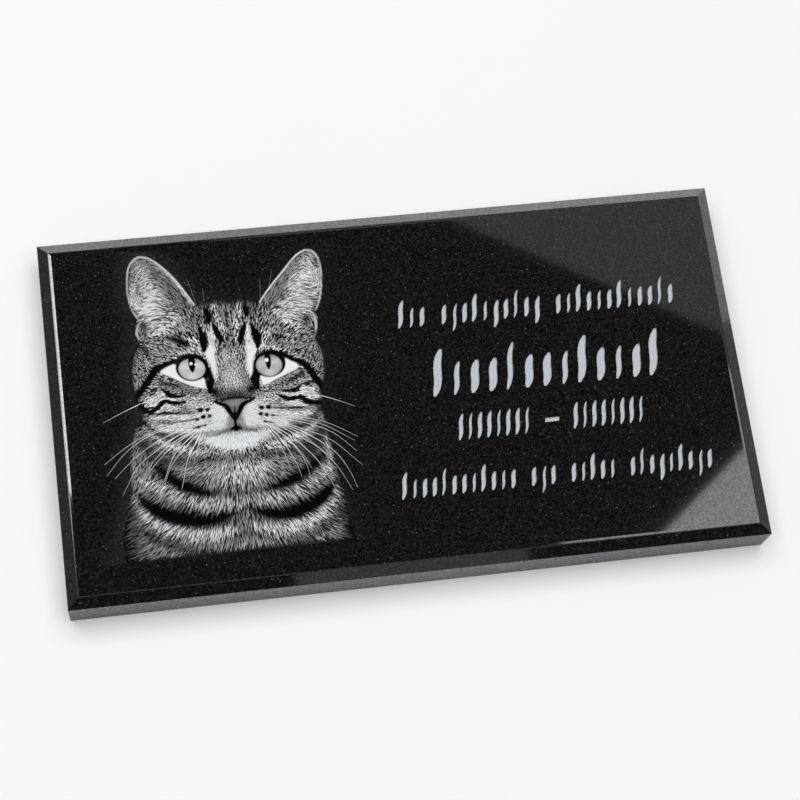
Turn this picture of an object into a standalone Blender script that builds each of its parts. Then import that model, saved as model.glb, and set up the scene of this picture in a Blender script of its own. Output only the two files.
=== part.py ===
"""A flat pet grave marker: one slab of polished black granite with a bevelled top edge, a tabby
cat's head and chest etched on its left, and four rows of engraved strokes on its right.

Metres, +Z up. The origin is the centre of the underside. +X runs along the length, towards the
rows of strokes, and +Y runs towards the top of the portrait.
"""
import math
from collections import namedtuple

import bmesh
import bpy
from mathutils import Vector

# The slab and its edges
SLAB_LENGTH = 0.280
SLAB_WIDTH = 0.152
SLAB_THICKNESS = 0.020
BEVEL_RUN = 0.0042
BEVEL_RISE = 0.0022
ARRIS_RUN = 0.0012
ARRIS_RISE = 0.00012
FOOT_CHAMFER = 0.0006

# The portrait's place on the polished face
PORTRAIT_SIDE_MARGIN = 0.0151
PORTRAIT_FOOT_MARGIN = 0.0101
PORTRAIT_EAR_MARGIN = 0.0036

# How deep each kind of work goes below the polish
ETCH_DEPTH = 0.00025
WHISKER_DEPTH = 0.00016
STROKE_DEPTH = 0.0007

# The rows of strokes
ROWS_GAP_TO_PORTRAIT = 0.0185
ROWS_SIDE_MARGIN = 0.0126
LOWEST_BASELINE = 0.0241
STROKE_SLANT = math.radians(14)
STEM_SHARE = 0.46
THIN_STEM_SHARE = 0.30
WORD_GAP_PITCHES = 1.1
SMALL_HEIGHT_SHARE = 0.70
TAIL_SHARE = 0.28
DASH_HEIGHT_SHARE = 0.16
DASH_LEVEL_SHARE = 0.36

# What follows from those sizes
FACE_LENGTH = SLAB_LENGTH - 2 * (BEVEL_RUN + ARRIS_RUN)
FACE_WIDTH = SLAB_WIDTH - 2 * (BEVEL_RUN + ARRIS_RUN)
FACE_LEFT = -FACE_LENGTH / 2
FACE_FOOT = -FACE_WIDTH / 2
PORTRAIT_HEIGHT = FACE_WIDTH - PORTRAIT_FOOT_MARGIN - PORTRAIT_EAR_MARGIN
CUTTER_OVERRUN = SLAB_THICKNESS / 4

# The portrait is drawn on a grid of its own: u runs to the right of the line through the nose,
# v runs up from the straight cut under the chest, and the ear tip is FIGURE_HEIGHT above it.
FIGURE_HEIGHT = 127.5
FIGURE_LEFT = -51.0
FIGURE_RIGHT = 43.5
GRID = PORTRAIT_HEIGHT / FIGURE_HEIGHT
NOSE_LINE_X = FACE_LEFT + PORTRAIT_SIDE_MARGIN - FIGURE_LEFT * GRID

ROWS_LEFT = NOSE_LINE_X + FIGURE_RIGHT * GRID + ROWS_GAP_TO_PORTRAIT
ROWS_RIGHT = -FACE_LEFT - ROWS_SIDE_MARGIN
ROWS_LENGTH = ROWS_RIGHT - ROWS_LEFT

# One row: its capitals' height, the step up from the row below it, its share of the rows' whole
# length, how far it sits right of the middle, and the strokes in each of its words. A word of
# no strokes is a dash.
Row = namedtuple("Row", "height step share shift words")
ROWS = (
    Row(0.0110, 0.0, 1.00, 0.0, (12, 3, 5, 9)),
    Row(0.0110, 0.0220, 0.607, 0.0007, (8, 0, 8)),
    Row(0.0200, 0.0193, 0.755, 0.0022, (13,)),
    Row(0.0119, 0.0305, 0.911, 0.0022, (3, 10, 12)),
)
# A numeral row has strokes of one height, and in the others every fourth stroke is a tall one
NUMERAL_ROW = 1
TALL_EVERY = 4

# A stroke's half width along its length, as shares of the full half width
STROKE_SWELL = ((0.0, 0.35), (0.15, 0.92), (0.5, 1.0), (0.85, 0.92), (1.0, 0.35))
STROKE_CURL = 0.03

# The outline of head and chest, span by span. Spans meet at the sharp corners.
OUTLINE_SPANS = (
    ((-51, 0), (-49.5, 8.5), (-46.5, 17.5), (-43.5, 26.5), (-41.8, 35.5), (-41.3, 44), (-38.2, 54)),
    ((-38.2, 54), (-36.7, 61.5), (-38.3, 71.5), (-38.1, 79.5), (-36.5, 85.5), (-34.5, 88.5)),
    ((-34.5, 88.5), (-36.3, 94), (-35.3, 98.5), (-34.3, 100.3)),
    ((-34.3, 100.3), (-36.8, 106.5), (-37.4, 114.5), (-36.1, 122.5), (-31.7, 127.5),
     (-28, 126.1), (-23, 121), (-17, 113), (-10.5, 104.3)),
    ((-10.5, 104.3), (-4, 103.3), (6, 103.1), (13.9, 102.9)),
    ((13.9, 102.9), (21, 110.3), (27.5, 117.4), (33.5, 122.5), (37.7, 124.3), (41, 121.8),
     (42.3, 117.5), (42.2, 110.5), (40.9, 103.5), (38.4, 98)),
    ((38.4, 98), (37.9, 93), (37.5, 89), (36.2, 86)),
    ((36.2, 86), (37.8, 81), (38.5, 73.5), (37.5, 65.5), (35.3, 58.5), (34.7, 53)),
    ((34.7, 53), (37, 45.5), (37.7, 34.5), (38.5, 23.5), (41, 12.5), (43.5, 0)),
)
OUTLINE_STEPS = 2

# What stays polished inside the etched figure. Each line is a row of (u, v, width) points.
FOREHEAD_STRIPES = (
    ((-11.8, 94, 0.8), (-10.5, 90, 3.2), (-8.5, 84, 0.3)),
    ((-4.3, 94.5, 0.6), (-3.3, 90.5, 1.7), (-2.5, 86.6, 0.4)),
    ((7.7, 94.5, 0.6), (6.7, 90.5, 1.9), (6.1, 86.1, 0.4)),
    ((11.3, 92.5, 0.8), (11.9, 89, 2.9), (12.7, 82.8, 0.3)),
    ((-3.8, 102, 0.8), (-5, 99.5, 2.5), (-5.6, 96.6, 0.5)),
    ((8.8, 101.5, 0.8), (9.8, 99, 2.5), (10.8, 95.8, 0.5)),
)
EYE_CORNER_LINES = (
    ((-9.5, 74.5, 2.5), (-7.3, 69.7, 1.6), (-7.7, 66, 0.5)),
    ((11.1, 73.5, 2.5), (8.9, 70, 1.6), (9.9, 66.7, 0.5)),
)
TEMPLE_STRIPES = (
    ((-20.5, 79.3, 1.2), (-24.5, 79.4, 1.3), (-29, 78.5, 2.2), (-33, 73, 2.6), (-36.6, 68, 1.6)),
    ((21.5, 79.5, 1.2), (27, 76.7, 1.6), (30.5, 74.7, 2.2), (33.5, 70, 2.2), (36.2, 66, 1.2)),
)
CHEEK_STRIPES = (
    ((-35, 61.3, 0.3), (-31.3, 61.7, 1.2), (-27.8, 64.3, 1.3), (-23.5, 63.7, 1.6), (-19.5, 62.1, 0.4)),
    ((-28, 70, 0.5), (-24.5, 67.1, 1.3), (-21, 66.1, 0.4)),
    ((-31.5, 59.3, 0.4), (-25.5, 58.6, 0.9), (-17.5, 58.4, 0.3)),
    ((-32.5, 54.8, 0.4), (-27.5, 53.9, 1.4), (-22.5, 53.6, 0.4)),
    ((19.7, 62.8, 0.4), (23.5, 60.7, 1.4), (28, 60.9, 1.2), (30.5, 58.9, 1.3), (34, 57.8, 0.4)),
    ((21.3, 64.5, 0.5), (25, 63.9, 1.2), (29, 66.1, 0.4)),
    ((16.5, 56.9, 0.3), (22.5, 55.9, 0.9), (30.5, 55.9, 0.4)),
    ((23.5, 51.2, 0.4), (28, 50.7, 1.4), (31.5, 52.8, 0.4)),
)
NOSE_AND_MOUTH = (
    ((-7.3, 62.9, 0.5), (-5.3, 60.7, 1.3), (-2.5, 59.3, 1.9), (-1.8, 57.1, 1.7), (0.0, 54.3, 1.0)),
    ((8.3, 62.9, 0.5), (6.1, 60.7, 1.3), (3.3, 59.3, 1.9), (2.5, 57.1, 1.7), (0.5, 54.3, 1.0)),
    ((0.2, 55, 1.8), (0.3, 52.5, 1.0), (0.5, 50.3, 1.6)),
    ((0.1, 50.7, 1.2), (-3, 48.9, 0.7), (-8, 48.5, 0.2)),
    ((0.7, 50.7, 1.2), (3.5, 49.1, 0.7), (7.2, 48.2, 0.2)),
)
NECKLACES = (
    ((-33, 37, 0.8), (-27.5, 33, 3.4), (-21.5, 28, 4.4), (-15.5, 25.2, 3.2), (-10.5, 25, 0.5)),
    ((34.5, 36.5, 0.8), (28.5, 33, 4), (22.5, 28.5, 4.8), (15.5, 25.2, 4), (10.5, 25.5, 0.5)),
    ((-40.2, 28, 1.0), (-36, 22, 3.5), (-28.5, 17.3, 4.6), (-19.5, 14.3, 4.8), (-11.5, 13.7, 3.6),
     (-5.5, 16, 0.6)),
    ((36.5, 27, 1.0), (32.5, 21, 3.5), (26.5, 16.5, 4.4), (18.5, 13.5, 4.6), (10.5, 14.3, 3.6),
     (5, 17.5, 0.6)),
    ((-17.5, 39.5, 0.3), (-8.5, 38.5, 1.2), (0, 38.2, 1.6), (8.5, 38.5, 1.2), (17.5, 39.5, 0.3)),
)
LINE_STEPS = 3

# Ellipses as (u, v, half width, half height)
EYE_RIMS = ((-14.8, 77.6, 6.7, 5.9), (16.8, 76.2, 6.7, 5.8))
IRISES = ((-14.6, 76.9, 5.5, 4.5), (16.7, 75.8, 5.4, 4.5))
PUPILS = ((-14.5, 77.2, 1.3, 3.1), (15.7, 76.3, 1.1, 3.2))
WHISKER_ROOTS = (
    (-14, 59.6), (-10, 59.3), (-14.5, 55.7), (-12.2, 56.6), (-9.8, 56.5), (-12.5, 52.5),
    (11, 58.1), (14, 57.7), (10.3, 55.5), (12.7, 54.7), (15, 54.3), (12.5, 52.1),
)
ROOT_RADIUS = 0.6
EYE_SIDES = 20
PUPIL_SIDES = 10
ROOT_SIDES = 6

# Whiskers past the head's outline, thick end first
WHISKER_WIDTHS = (0.55, 0.4, 0.25)
WHISKERS = (
    ((-31, 52.7), (-42, 47.5), (-52.5, 40.7)),
    ((-33, 51), (-43.5, 45), (-52, 36)),
    ((-33, 43.5), (-40, 37), (-46.5, 27.5)),
    ((-35.5, 64.3), (-43.5, 61.5), (-51.5, 58)),
    ((34, 49), (40, 46), (46.5, 40.5)),
    ((35, 48.7), (41.5, 46.5), (48, 42)),
    ((34, 43.5), (41, 38), (48.5, 30)),
    ((34.5, 35), (39, 28.5), (43.5, 20)),
    ((32, 62), (40.5, 58.5), (48.5, 54.7)),
)

GRANITE_COLOUR = (0.012, 0.012, 0.013, 1.0)
GRANITE_ROUGHNESS = 0.12


def clear_scene():
    """Take away whatever the opened file holds."""
    for item in list(bpy.data.objects):
        bpy.data.objects.remove(item, do_unlink=True)


def smooth_run(points, steps):
    """Points on a smooth curve that goes through every given point."""
    known = [Vector(point) for point in points]
    known = [2 * known[0] - known[1]] + known + [2 * known[-1] - known[-2]]
    run = []
    for before, start, end, after in zip(known, known[1:], known[2:], known[3:]):
        for step in range(steps):
            t = step / steps
            bend = 2 * before - 5 * start + 4 * end - after
            twist = 3 * start - before - 3 * end + after
            run.append(start + 0.5 * ((end - before) * t + bend * t * t + twist * t * t * t))
    run.append(known[-2])
    return run


def on_face(u, v):
    """A place on the portrait's grid, in metres on the slab."""
    return Vector((NOSE_LINE_X + u * GRID, FACE_FOOT + PORTRAIT_FOOT_MARGIN + v * GRID))


def figure_outline():
    """Head, ears and chest as one loop of points."""
    loop = []
    for span in OUTLINE_SPANS:
        loop.extend(smooth_run(span, OUTLINE_STEPS)[:-1])
    loop.append(Vector(OUTLINE_SPANS[-1][-1]))
    return [on_face(*point) for point in loop]


def line_outline(points):
    """A line that swells and tapers with the widths along it."""
    run = smooth_run(points, LINE_STEPS)
    left, right = [], []
    for index, point in enumerate(run):
        ahead = run[min(index + 1, len(run) - 1)]
        behind = run[max(index - 1, 0)]
        along = (ahead - behind).to_2d().normalized()
        aside = Vector((-along.y, along.x)) * point.z / 2
        left.append(on_face(*(point.to_2d() + aside)))
        right.append(on_face(*(point.to_2d() - aside)))
    return left + right[::-1]


def ellipse_outline(u, v, half_width, half_height, sides):
    """An ellipse on the portrait's grid."""
    turns = [2 * math.pi * side / sides for side in range(sides)]
    return [on_face(u + half_width * math.cos(turn), v + half_height * math.sin(turn)) for turn in turns]


def stroke_outline(foot_x, foot_y, height, stem):
    """One slanted stroke of a row, pointed at both ends like the cut of a flat chisel."""
    left, right = [], []
    for share, swell in STROKE_SWELL:
        rise = share * height
        lean = rise * math.tan(STROKE_SLANT) + STROKE_CURL * height * math.sin(2 * math.pi * share)
        left.append(Vector((foot_x + lean - swell * stem / 2, foot_y + rise)))
        right.append(Vector((foot_x + lean + swell * stem / 2, foot_y + rise)))
    return left + right[::-1]


def dash_outline(middle_x, foot_y, length, height):
    """The short level stroke between the two groups of the numeral row."""
    low = foot_y + DASH_LEVEL_SHARE * height
    high = low + DASH_HEIGHT_SHARE * height
    lean = (high - low) * math.tan(STROKE_SLANT)
    left = middle_x - length / 2
    right = middle_x + length / 2
    return [Vector((left, low)), Vector((right, low)), Vector((right + lean, high)), Vector((left + lean, high))]


def row_outlines(row, baseline, numerals):
    """Every stroke of one row, word by word."""
    pitches = sum(max(count, 2) for count in row.words) + WORD_GAP_PITCHES * (len(row.words) - 1)
    pitch = row.share * ROWS_LENGTH / pitches
    middle = (ROWS_LEFT + ROWS_RIGHT) / 2 + row.shift
    x = middle - row.share * ROWS_LENGTH / 2
    outlines = []
    for word, count in enumerate(row.words):
        if count == 0:
            outlines.append(dash_outline(x + pitch, baseline, 1.5 * pitch, row.height))
        for index in range(count):
            tall = numerals or (index + word) % TALL_EVERY == 0
            tail = not tall and (index + word) % TALL_EVERY == 2 and index % 2 == 1
            height = row.height * (1.0 if tall else SMALL_HEIGHT_SHARE)
            drop = row.height * TAIL_SHARE if tail else 0.0
            stem = pitch * (STEM_SHARE if index % 3 != 1 else THIN_STEM_SHARE)
            foot_x = x + (index + 0.5) * pitch - (height + drop) / 2 * math.tan(STROKE_SLANT)
            outlines.append(stroke_outline(foot_x, baseline - drop, height + drop, stem))
        x += (max(count, 2) + WORD_GAP_PITCHES) * pitch
    return outlines


def inscription_outlines():
    """The strokes of all the rows, from the lowest row up."""
    outlines = []
    baseline = FACE_FOOT + LOWEST_BASELINE
    for number, row in enumerate(ROWS):
        baseline += row.step
        outlines.extend(row_outlines(row, baseline, number == NUMERAL_ROW))
    return outlines


def add_prism(mesh, outline, low, high):
    """Add an outline to a mesh as a closed upright block between two heights."""
    below = [mesh.verts.new((point.x, point.y, low)) for point in outline]
    above = [mesh.verts.new((point.x, point.y, high)) for point in outline]
    mesh.faces.new(below[::-1])
    mesh.faces.new(above)
    count = len(outline)
    for side in range(count):
        after = (side + 1) % count
        mesh.faces.new((below[side], below[after], above[after], above[side]))


def make_object(name, mesh, home):
    """Turn a finished bmesh into an object, with its faces pointing out."""
    bmesh.ops.recalc_face_normals(mesh, faces=mesh.faces)
    data = bpy.data.meshes.new(name)
    mesh.to_mesh(data)
    mesh.free()
    item = bpy.data.objects.new(name, data)
    home.objects.link(item)
    return item


def make_cutter(name, outlines, depth, home):
    """A cutter that takes the outlines down to a depth below the polish."""
    mesh = bmesh.new()
    for outline in outlines:
        add_prism(mesh, outline, SLAB_THICKNESS - depth, SLAB_THICKNESS + CUTTER_OVERRUN)
    cutter = make_object(name, mesh, home)
    cutter.hide_render = True
    cutter.display_type = 'WIRE'
    return cutter


def make_cutters(name, outlines, depth):
    """One cutter for each outline, in a collection, so that they may cross each other."""
    home = bpy.data.collections.new(name)
    bpy.context.scene.collection.children.link(home)
    for number, outline in enumerate(outlines):
        make_cutter(f"{name}_{number}", [outline], depth, home)
    return home


def subtract(item, cutter):
    """Cut an object, or every object of a collection, out of an item."""
    cut = item.modifiers.new("cut", 'BOOLEAN')
    cut.operation = 'DIFFERENCE'
    cut.solver = 'EXACT'
    if isinstance(cutter, bpy.types.Collection):
        cut.operand_type = 'COLLECTION'
        cut.collection = cutter
    else:
        cut.object = cutter


def make_slab(home):
    """The plain slab: a stack of rectangles from the chamfered foot to the polished face."""
    rim_height = SLAB_THICKNESS - BEVEL_RISE - ARRIS_RISE
    levels = (
        (FOOT_CHAMFER, 0.0),
        (0.0, FOOT_CHAMFER),
        (0.0, rim_height),
        (BEVEL_RUN, rim_height + BEVEL_RISE),
        (BEVEL_RUN + ARRIS_RUN, SLAB_THICKNESS),
    )
    mesh = bmesh.new()
    rings = []
    for inset, height in levels:
        half_x = SLAB_LENGTH / 2 - inset
        half_y = SLAB_WIDTH / 2 - inset
        corners = ((-half_x, -half_y), (half_x, -half_y), (half_x, half_y), (-half_x, half_y))
        rings.append([mesh.verts.new((x, y, height)) for x, y in corners])
    for lower, upper in zip(rings, rings[1:]):
        for side in range(4):
            after = (side + 1) % 4
            mesh.faces.new((lower[side], lower[after], upper[after], upper[side]))
    mesh.faces.new(rings[0][::-1])
    mesh.faces.new(rings[-1])
    return make_object("granite_marker", mesh, home)


def granite():
    """Polished black granite."""
    material = bpy.data.materials.new("black_granite")
    material.use_nodes = True
    shader = material.node_tree.nodes["Principled BSDF"]
    shader.inputs["Base Color"].default_value = GRANITE_COLOUR
    shader.inputs["Roughness"].default_value = GRANITE_ROUGHNESS
    shader.inputs["Metallic"].default_value = 0.0
    return material


def portrait_cutters(home):
    """The etched field with its polished markings left standing, and the irises in the eyes."""
    lines = FOREHEAD_STRIPES + EYE_CORNER_LINES + TEMPLE_STRIPES + CHEEK_STRIPES + NOSE_AND_MOUTH + NECKLACES
    markings = [line_outline(line) for line in lines]
    markings += [ellipse_outline(*rim, EYE_SIDES) for rim in EYE_RIMS]
    markings += [ellipse_outline(u, v, ROOT_RADIUS, ROOT_RADIUS, ROOT_SIDES) for u, v in WHISKER_ROOTS]
    field = make_cutter("portrait_field", [figure_outline()], ETCH_DEPTH, home)
    subtract(field, make_cutters("polished_markings", markings, 2 * ETCH_DEPTH))

    irises = make_cutter("irises", [ellipse_outline(*iris, EYE_SIDES) for iris in IRISES], ETCH_DEPTH, home)
    pupils = [ellipse_outline(*pupil, PUPIL_SIDES) for pupil in PUPILS]
    subtract(irises, make_cutter("pupils", pupils, 2 * ETCH_DEPTH, home))
    return field, irises


def whisker_outlines():
    """The whiskers as fine tapered lines."""
    return [line_outline([(*place, width) for place, width in zip(whisker, WHISKER_WIDTHS)])
            for whisker in WHISKERS]


def build():
    """The whole marker."""
    clear_scene()
    home = bpy.context.scene.collection
    marker = make_slab(home)
    marker.data.materials.append(granite())
    for cutter in portrait_cutters(home):
        subtract(marker, cutter)
    subtract(marker, make_cutters("whiskers", whisker_outlines(), WHISKER_DEPTH))
    subtract(marker, make_cutter("strokes", inscription_outlines(), STROKE_DEPTH, home))


build()
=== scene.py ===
# %% [markdown]
# # A pet's grave marker in polished black granite
#
# The real object is one slab of black granite, sawn, polished on its face and bevels, honed on its
# vertical sides, and laid flat on the ground. A cat's portrait is etched into the left of the face
# with a fine point, dot by dot and hair by hair, and an inscription is blasted into the right.
#
# The lesson builds it in that order: the slab, the cuts, the etched picture, its fur and whiskers,
# and then the finishes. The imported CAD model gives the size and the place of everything.

import math

import bpy
import numpy as np
from mathutils import Matrix, Vector
from mathutils.geometry import delaunay_2d_cdt


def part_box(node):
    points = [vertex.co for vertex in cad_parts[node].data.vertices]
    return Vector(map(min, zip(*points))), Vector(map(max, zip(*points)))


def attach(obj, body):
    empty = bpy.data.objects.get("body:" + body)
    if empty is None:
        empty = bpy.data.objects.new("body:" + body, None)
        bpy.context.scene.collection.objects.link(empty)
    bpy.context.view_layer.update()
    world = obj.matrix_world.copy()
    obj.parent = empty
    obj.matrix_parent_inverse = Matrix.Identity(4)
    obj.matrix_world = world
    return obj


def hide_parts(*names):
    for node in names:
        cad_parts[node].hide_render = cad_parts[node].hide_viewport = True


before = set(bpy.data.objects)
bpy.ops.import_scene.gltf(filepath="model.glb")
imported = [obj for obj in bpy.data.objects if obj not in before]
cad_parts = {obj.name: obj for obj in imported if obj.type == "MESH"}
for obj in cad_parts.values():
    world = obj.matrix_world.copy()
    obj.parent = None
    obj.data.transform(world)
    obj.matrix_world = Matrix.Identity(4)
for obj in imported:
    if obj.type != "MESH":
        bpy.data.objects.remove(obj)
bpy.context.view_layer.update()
low_corner, high_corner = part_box("granite_marker")
HALF_LENGTH = high_corner.x
HALF_WIDTH = high_corner.y
TOP = high_corner.z
print("slab", [round(1000 * side, 2) for side in high_corner - low_corner], "mm")

# %% [markdown]
# ## Sizes
#
# A mason works to a drawing, so the sizes come first, in metres, and they are the CAD model's own.
# The portrait is drawn on a grid in millimetres: u runs to the right of the line through the nose
# and v runs up from the straight cut under the chest.

# %% Sizes that the cuts share with the CAD model
MM = 0.001
BEVEL_RUN = 0.0042
BEVEL_RISE = 0.0022
ARRIS_RUN = 0.0012
ARRIS_RISE = 0.00012
# the strip between the arris and the bevel, whose finish carries a painted highlight
ARRIS_STRIP_RUN = 0.0004
FOOT_CHAMFER = 0.0006
FACE_X = HALF_LENGTH - BEVEL_RUN - ARRIS_RUN
FACE_Y = HALF_WIDTH - BEVEL_RUN - ARRIS_RUN
PORTRAIT_GAP = 0.0151
LEFT_OF_NOSE = 0.051
RIGHT_OF_NOSE = 0.0435
NOSE_LINE_X = -FACE_X + PORTRAIT_GAP + LEFT_OF_NOSE
PORTRAIT_FOOT_Y = -FACE_Y + 0.0101
ETCH_DEPTH = 0.25
SOFT_BAND_DEPTH = 0.10
SOFT_EDGE_DEPTH = 0.07
ISLAND_RISE = 0.07
STROKE_DEPTH = 0.0007
print("polished face", round(2 * FACE_X, 4), "x", round(2 * FACE_Y, 4), "m")

# %% [markdown]
# ## Small drawing tools
#
# An etcher's hand makes tapered lines, ovals and closed areas. Each tool below answers one
# question for many places at once: how deep inside the shape is this place, in millimetres? A
# negative answer is outside. Depths make soft and crisp edges from the same drawing, which a
# plain inside-or-outside test can't do.

# %% Curves and depths
def through(points, steps=6):
    """A smooth run through given points."""
    known = np.array(points, float)
    known = np.vstack([2 * known[0] - known[1], known, 2 * known[-1] - known[-2]])
    run = []
    for a, b, c, d in zip(known, known[1:], known[2:], known[3:]):
        for t in np.arange(steps) / steps:
            bend = 2 * a - 5 * b + 4 * c - d
            twist = 3 * b - a - 3 * c + d
            run.append(b + 0.5 * ((c - a) * t + bend * t ** 2 + twist * t ** 3))
    run.append(known[-2])
    return np.array(run)


def ease(x):
    """0 to 1 with a soft start and end."""
    x = np.clip(x, 0, 1)
    return x * x * (3 - 2 * x)


def gap_to(u, v, a, b):
    """Each place's distance to the straight from a to b, and how far along it is."""
    du = b[0] - a[0]
    dv = b[1] - a[1]
    along = np.clip(((u - a[0]) * du + (v - a[1]) * dv) / (du * du + dv * dv + 1e-9), 0, 1)
    return np.hypot(u - a[0] - along * du, v - a[1] - along * dv), along


def line_depth(u, v, points):
    """How far inside a line of changing width each place is."""
    run = through(points)
    best = np.full(np.broadcast(u, v).shape, -1e3)
    for a, b in zip(run, run[1:]):
        gap, along = gap_to(u, v, a, b)
        best = np.maximum(best, (a[2] + (b[2] - a[2]) * along) / 2 - gap)
    return best


def oval_depth(u, v, middle_u, middle_v, half_u, half_v, turn=0.0):
    """How far inside an oval each place is, near enough."""
    c = math.cos(math.radians(turn))
    s = math.sin(math.radians(turn))
    x = (u - middle_u) * c + (v - middle_v) * s
    y = (v - middle_v) * c - (u - middle_u) * s
    return (1 - np.hypot(x / half_u, y / half_v)) * min(half_u, half_v)


def loop_depth(u, v, loop):
    """How far inside a closed loop each place is."""
    best = np.full(np.broadcast(u, v).shape, 1e3)
    inside = np.zeros(best.shape, bool)
    for a, b in zip(loop, np.roll(loop, -1, axis=0)):
        gap, along = gap_to(u, v, a, b)
        best = np.minimum(best, gap)
        rise = b[1] - a[1]
        crosses = (a[1] > v) != (b[1] > v)
        inside ^= crosses & (u < a[0] + (v - a[1]) * (b[0] - a[0]) / (rise if rise else 1e-9))
    return np.where(inside, best, -best)


# %% [markdown]
# ## The sheet the portrait is drawn on
#
# The etching is fine round the eyes and broad on the shoulders, so the mesh that carries it has
# close lines where the eyes are and wide ones elsewhere. A grid with uneven lines does this with
# no seams, and stays a plain table of rows and columns.

# %% Uneven grid lines
def uneven_lines(*stretches):
    """Grid lines from stretches of (start, end, spacing)."""
    lines = [np.linspace(a, b, round((b - a) / step), endpoint=False) for a, b, step in stretches]
    return np.append(np.concatenate(lines), stretches[-1][1])


U_LINES = uneven_lines((-54, -38, 0.62), (-38, -22, 0.42), (-22, -8, 0.28), (-8, 10, 0.36),
                       (10, 24, 0.28), (24, 39, 0.42), (39, 50, 0.62))
V_LINES = uneven_lines((-1.2, 0.6, 0.2), (0.6, 39, 0.5), (39, 71, 0.37), (71, 84, 0.28),
                       (84, 129.2, 0.42))
SHEET_U = U_LINES[None, :]
SHEET_V = V_LINES[:, None]
SHEET = (len(V_LINES), len(U_LINES))
print("portrait sheet", SHEET, "places")


def lay(field, value, share, part=(slice(None), slice(None))):
    """Move part of a field towards a value by a share from 0 to 1."""
    field[part] += (value - field[part]) * share


def draw(field, value, soft, depth_of, shape, reach):
    """Draw a shape on a field with a soft edge, looking only at the places near it."""
    shape = np.array([point[:2] for point in shape])
    low = shape.min(0) - (reach + soft)
    high = shape.max(0) + (reach + soft)
    rows = slice(*np.searchsorted(V_LINES, (low[1], high[1])))
    columns = slice(*np.searchsorted(U_LINES, (low[0], high[0])))
    depth = depth_of(SHEET_U[:, columns], SHEET_V[rows])
    lay(field, value, ease(0.5 + depth / (2 * soft)), (rows, columns))


def lay_line(field, value, soft, points):
    """Draw one tapered line on a field."""
    reach = max(point[2] for point in points) / 2
    draw(field, value, soft, lambda u, v: line_depth(u, v, points), points, reach)


def lay_loop(field, value, soft, loop):
    """Draw one closed area on a field."""
    run = through(loop + loop[:1], 4)
    draw(field, value, soft, lambda u, v: loop_depth(u, v, run), loop, 1.0)


def lay_oval(field, value, soft, oval):
    """Draw one oval on a field."""
    draw(field, value, soft, lambda u, v: oval_depth(u, v, *oval), [oval], max(oval[2:4]))


# %% [markdown]
# ## The cat's outline
#
# The etched figure is a head with two ears over a chest that is cut off straight at the foot. Its
# outline is drawn span by span, and spans meet where the outline has a corner.

# %% Head, ears and chest
EAR_LEFT = ((-34.3, 100), (-36.3, 105), (-37.3, 111), (-37, 118), (-35.7, 124), (-31.8, 127.5),
    (-27.5, 126.6), (-22, 122), (-16.5, 115), (-10.3, 104))
EAR_RIGHT = ((15, 102.5), (20, 109), (26.5, 116), (32.5, 122.2), (37.5, 124.3), (41.2, 121.8),
    (42.5, 116), (42, 109), (40.5, 102), (37.8, 96.4))
HEAD_SPANS = (
    ((-30, 47), (-34, 51.5), (-36, 57), (-36.4, 63), (-38, 69), (-38.6, 76), (-37.6, 82), (-36, 87),
        (-34.3, 89.5)),
    ((-34.3, 89.5), (-35.8, 94.5), (-34.3, 100)),
    EAR_LEFT,
    ((-10.3, 104), (-4, 104.4), (6, 104.2), (15, 102.5)),
    EAR_RIGHT,
    ((37.8, 96.4), (38.4, 92.5), (36.4, 85)),
    ((36.4, 85), (38.2, 80), (38.8, 74), (37.6, 67), (35.6, 61.5), (35.3, 56), (33, 50), (28, 45)),
    ((28, 45), (20, 41), (10, 40), (0, 39.8), (-10, 40), (-20, 41.5), (-30, 47)),
)
CHEST_SPANS = (
    ((-50, 0), (-48, 10), (-45.5, 19), (-42.8, 27), (-42.4, 36), (-41.5, 45), (-38, 55)),
    ((-38, 55), (0, 60), (35, 54)),
    ((35, 54), (36.3, 44), (37.6, 35), (37.6, 26), (39, 16), (41, 6), (42, 0)),
    ((42, 0), (0, 0), (-50, 0)),
)


def closed(spans, steps=5):
    """One loop of points from spans that meet end to end."""
    return np.vstack([through(span, steps)[:-1] for span in spans])


EARS_FOOT = 89
CRISP_EDGE = 0.55
FURRY_EDGE = 3.4
head_depth = loop_depth(SHEET_U, SHEET_V, closed(HEAD_SPANS))
chest_depth = loop_depth(SHEET_U, SHEET_V, closed(CHEST_SPANS))
ear_depth = np.maximum(loop_depth(SHEET_U, SHEET_V, through(EAR_LEFT, 5)),
                       loop_depth(SHEET_U, SHEET_V, through(EAR_RIGHT, 5)))
on_crown = ease((12.5 - np.abs(SHEET_U - 2.3)) / 2) * ease((SHEET_V - 99) / 2)
edge_softness = np.where(SHEET_V > EARS_FOOT, CRISP_EDGE, FURRY_EDGE) + 3.5 * on_crown
head_share = ease(0.5 + head_depth / edge_softness)
foot_share = ease(0.5 + (SHEET_V + 0.1) / 0.4)
shoulders = ease((SHEET_U + 50) / 12) * ease((42.0 - SHEET_U) / 7)
chest_share = ease(0.5 + chest_depth / 1.6) * shoulders * foot_share
print("figure covers", round(float((np.maximum(head_share, chest_share) > 0.5).mean()), 3), "of the sheet")

# %% [markdown]
# ## Light and dark
#
# An etcher on black stone works like someone drawing with white chalk on black paper: the more
# dots, the lighter the place. The picture is built from broad, soft areas first, and the crisp
# dark stripes are left out of the white at the end. Each line has a lightness from 0 to 1, a
# softness in millimetres, and points of (u, v, width).

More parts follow.
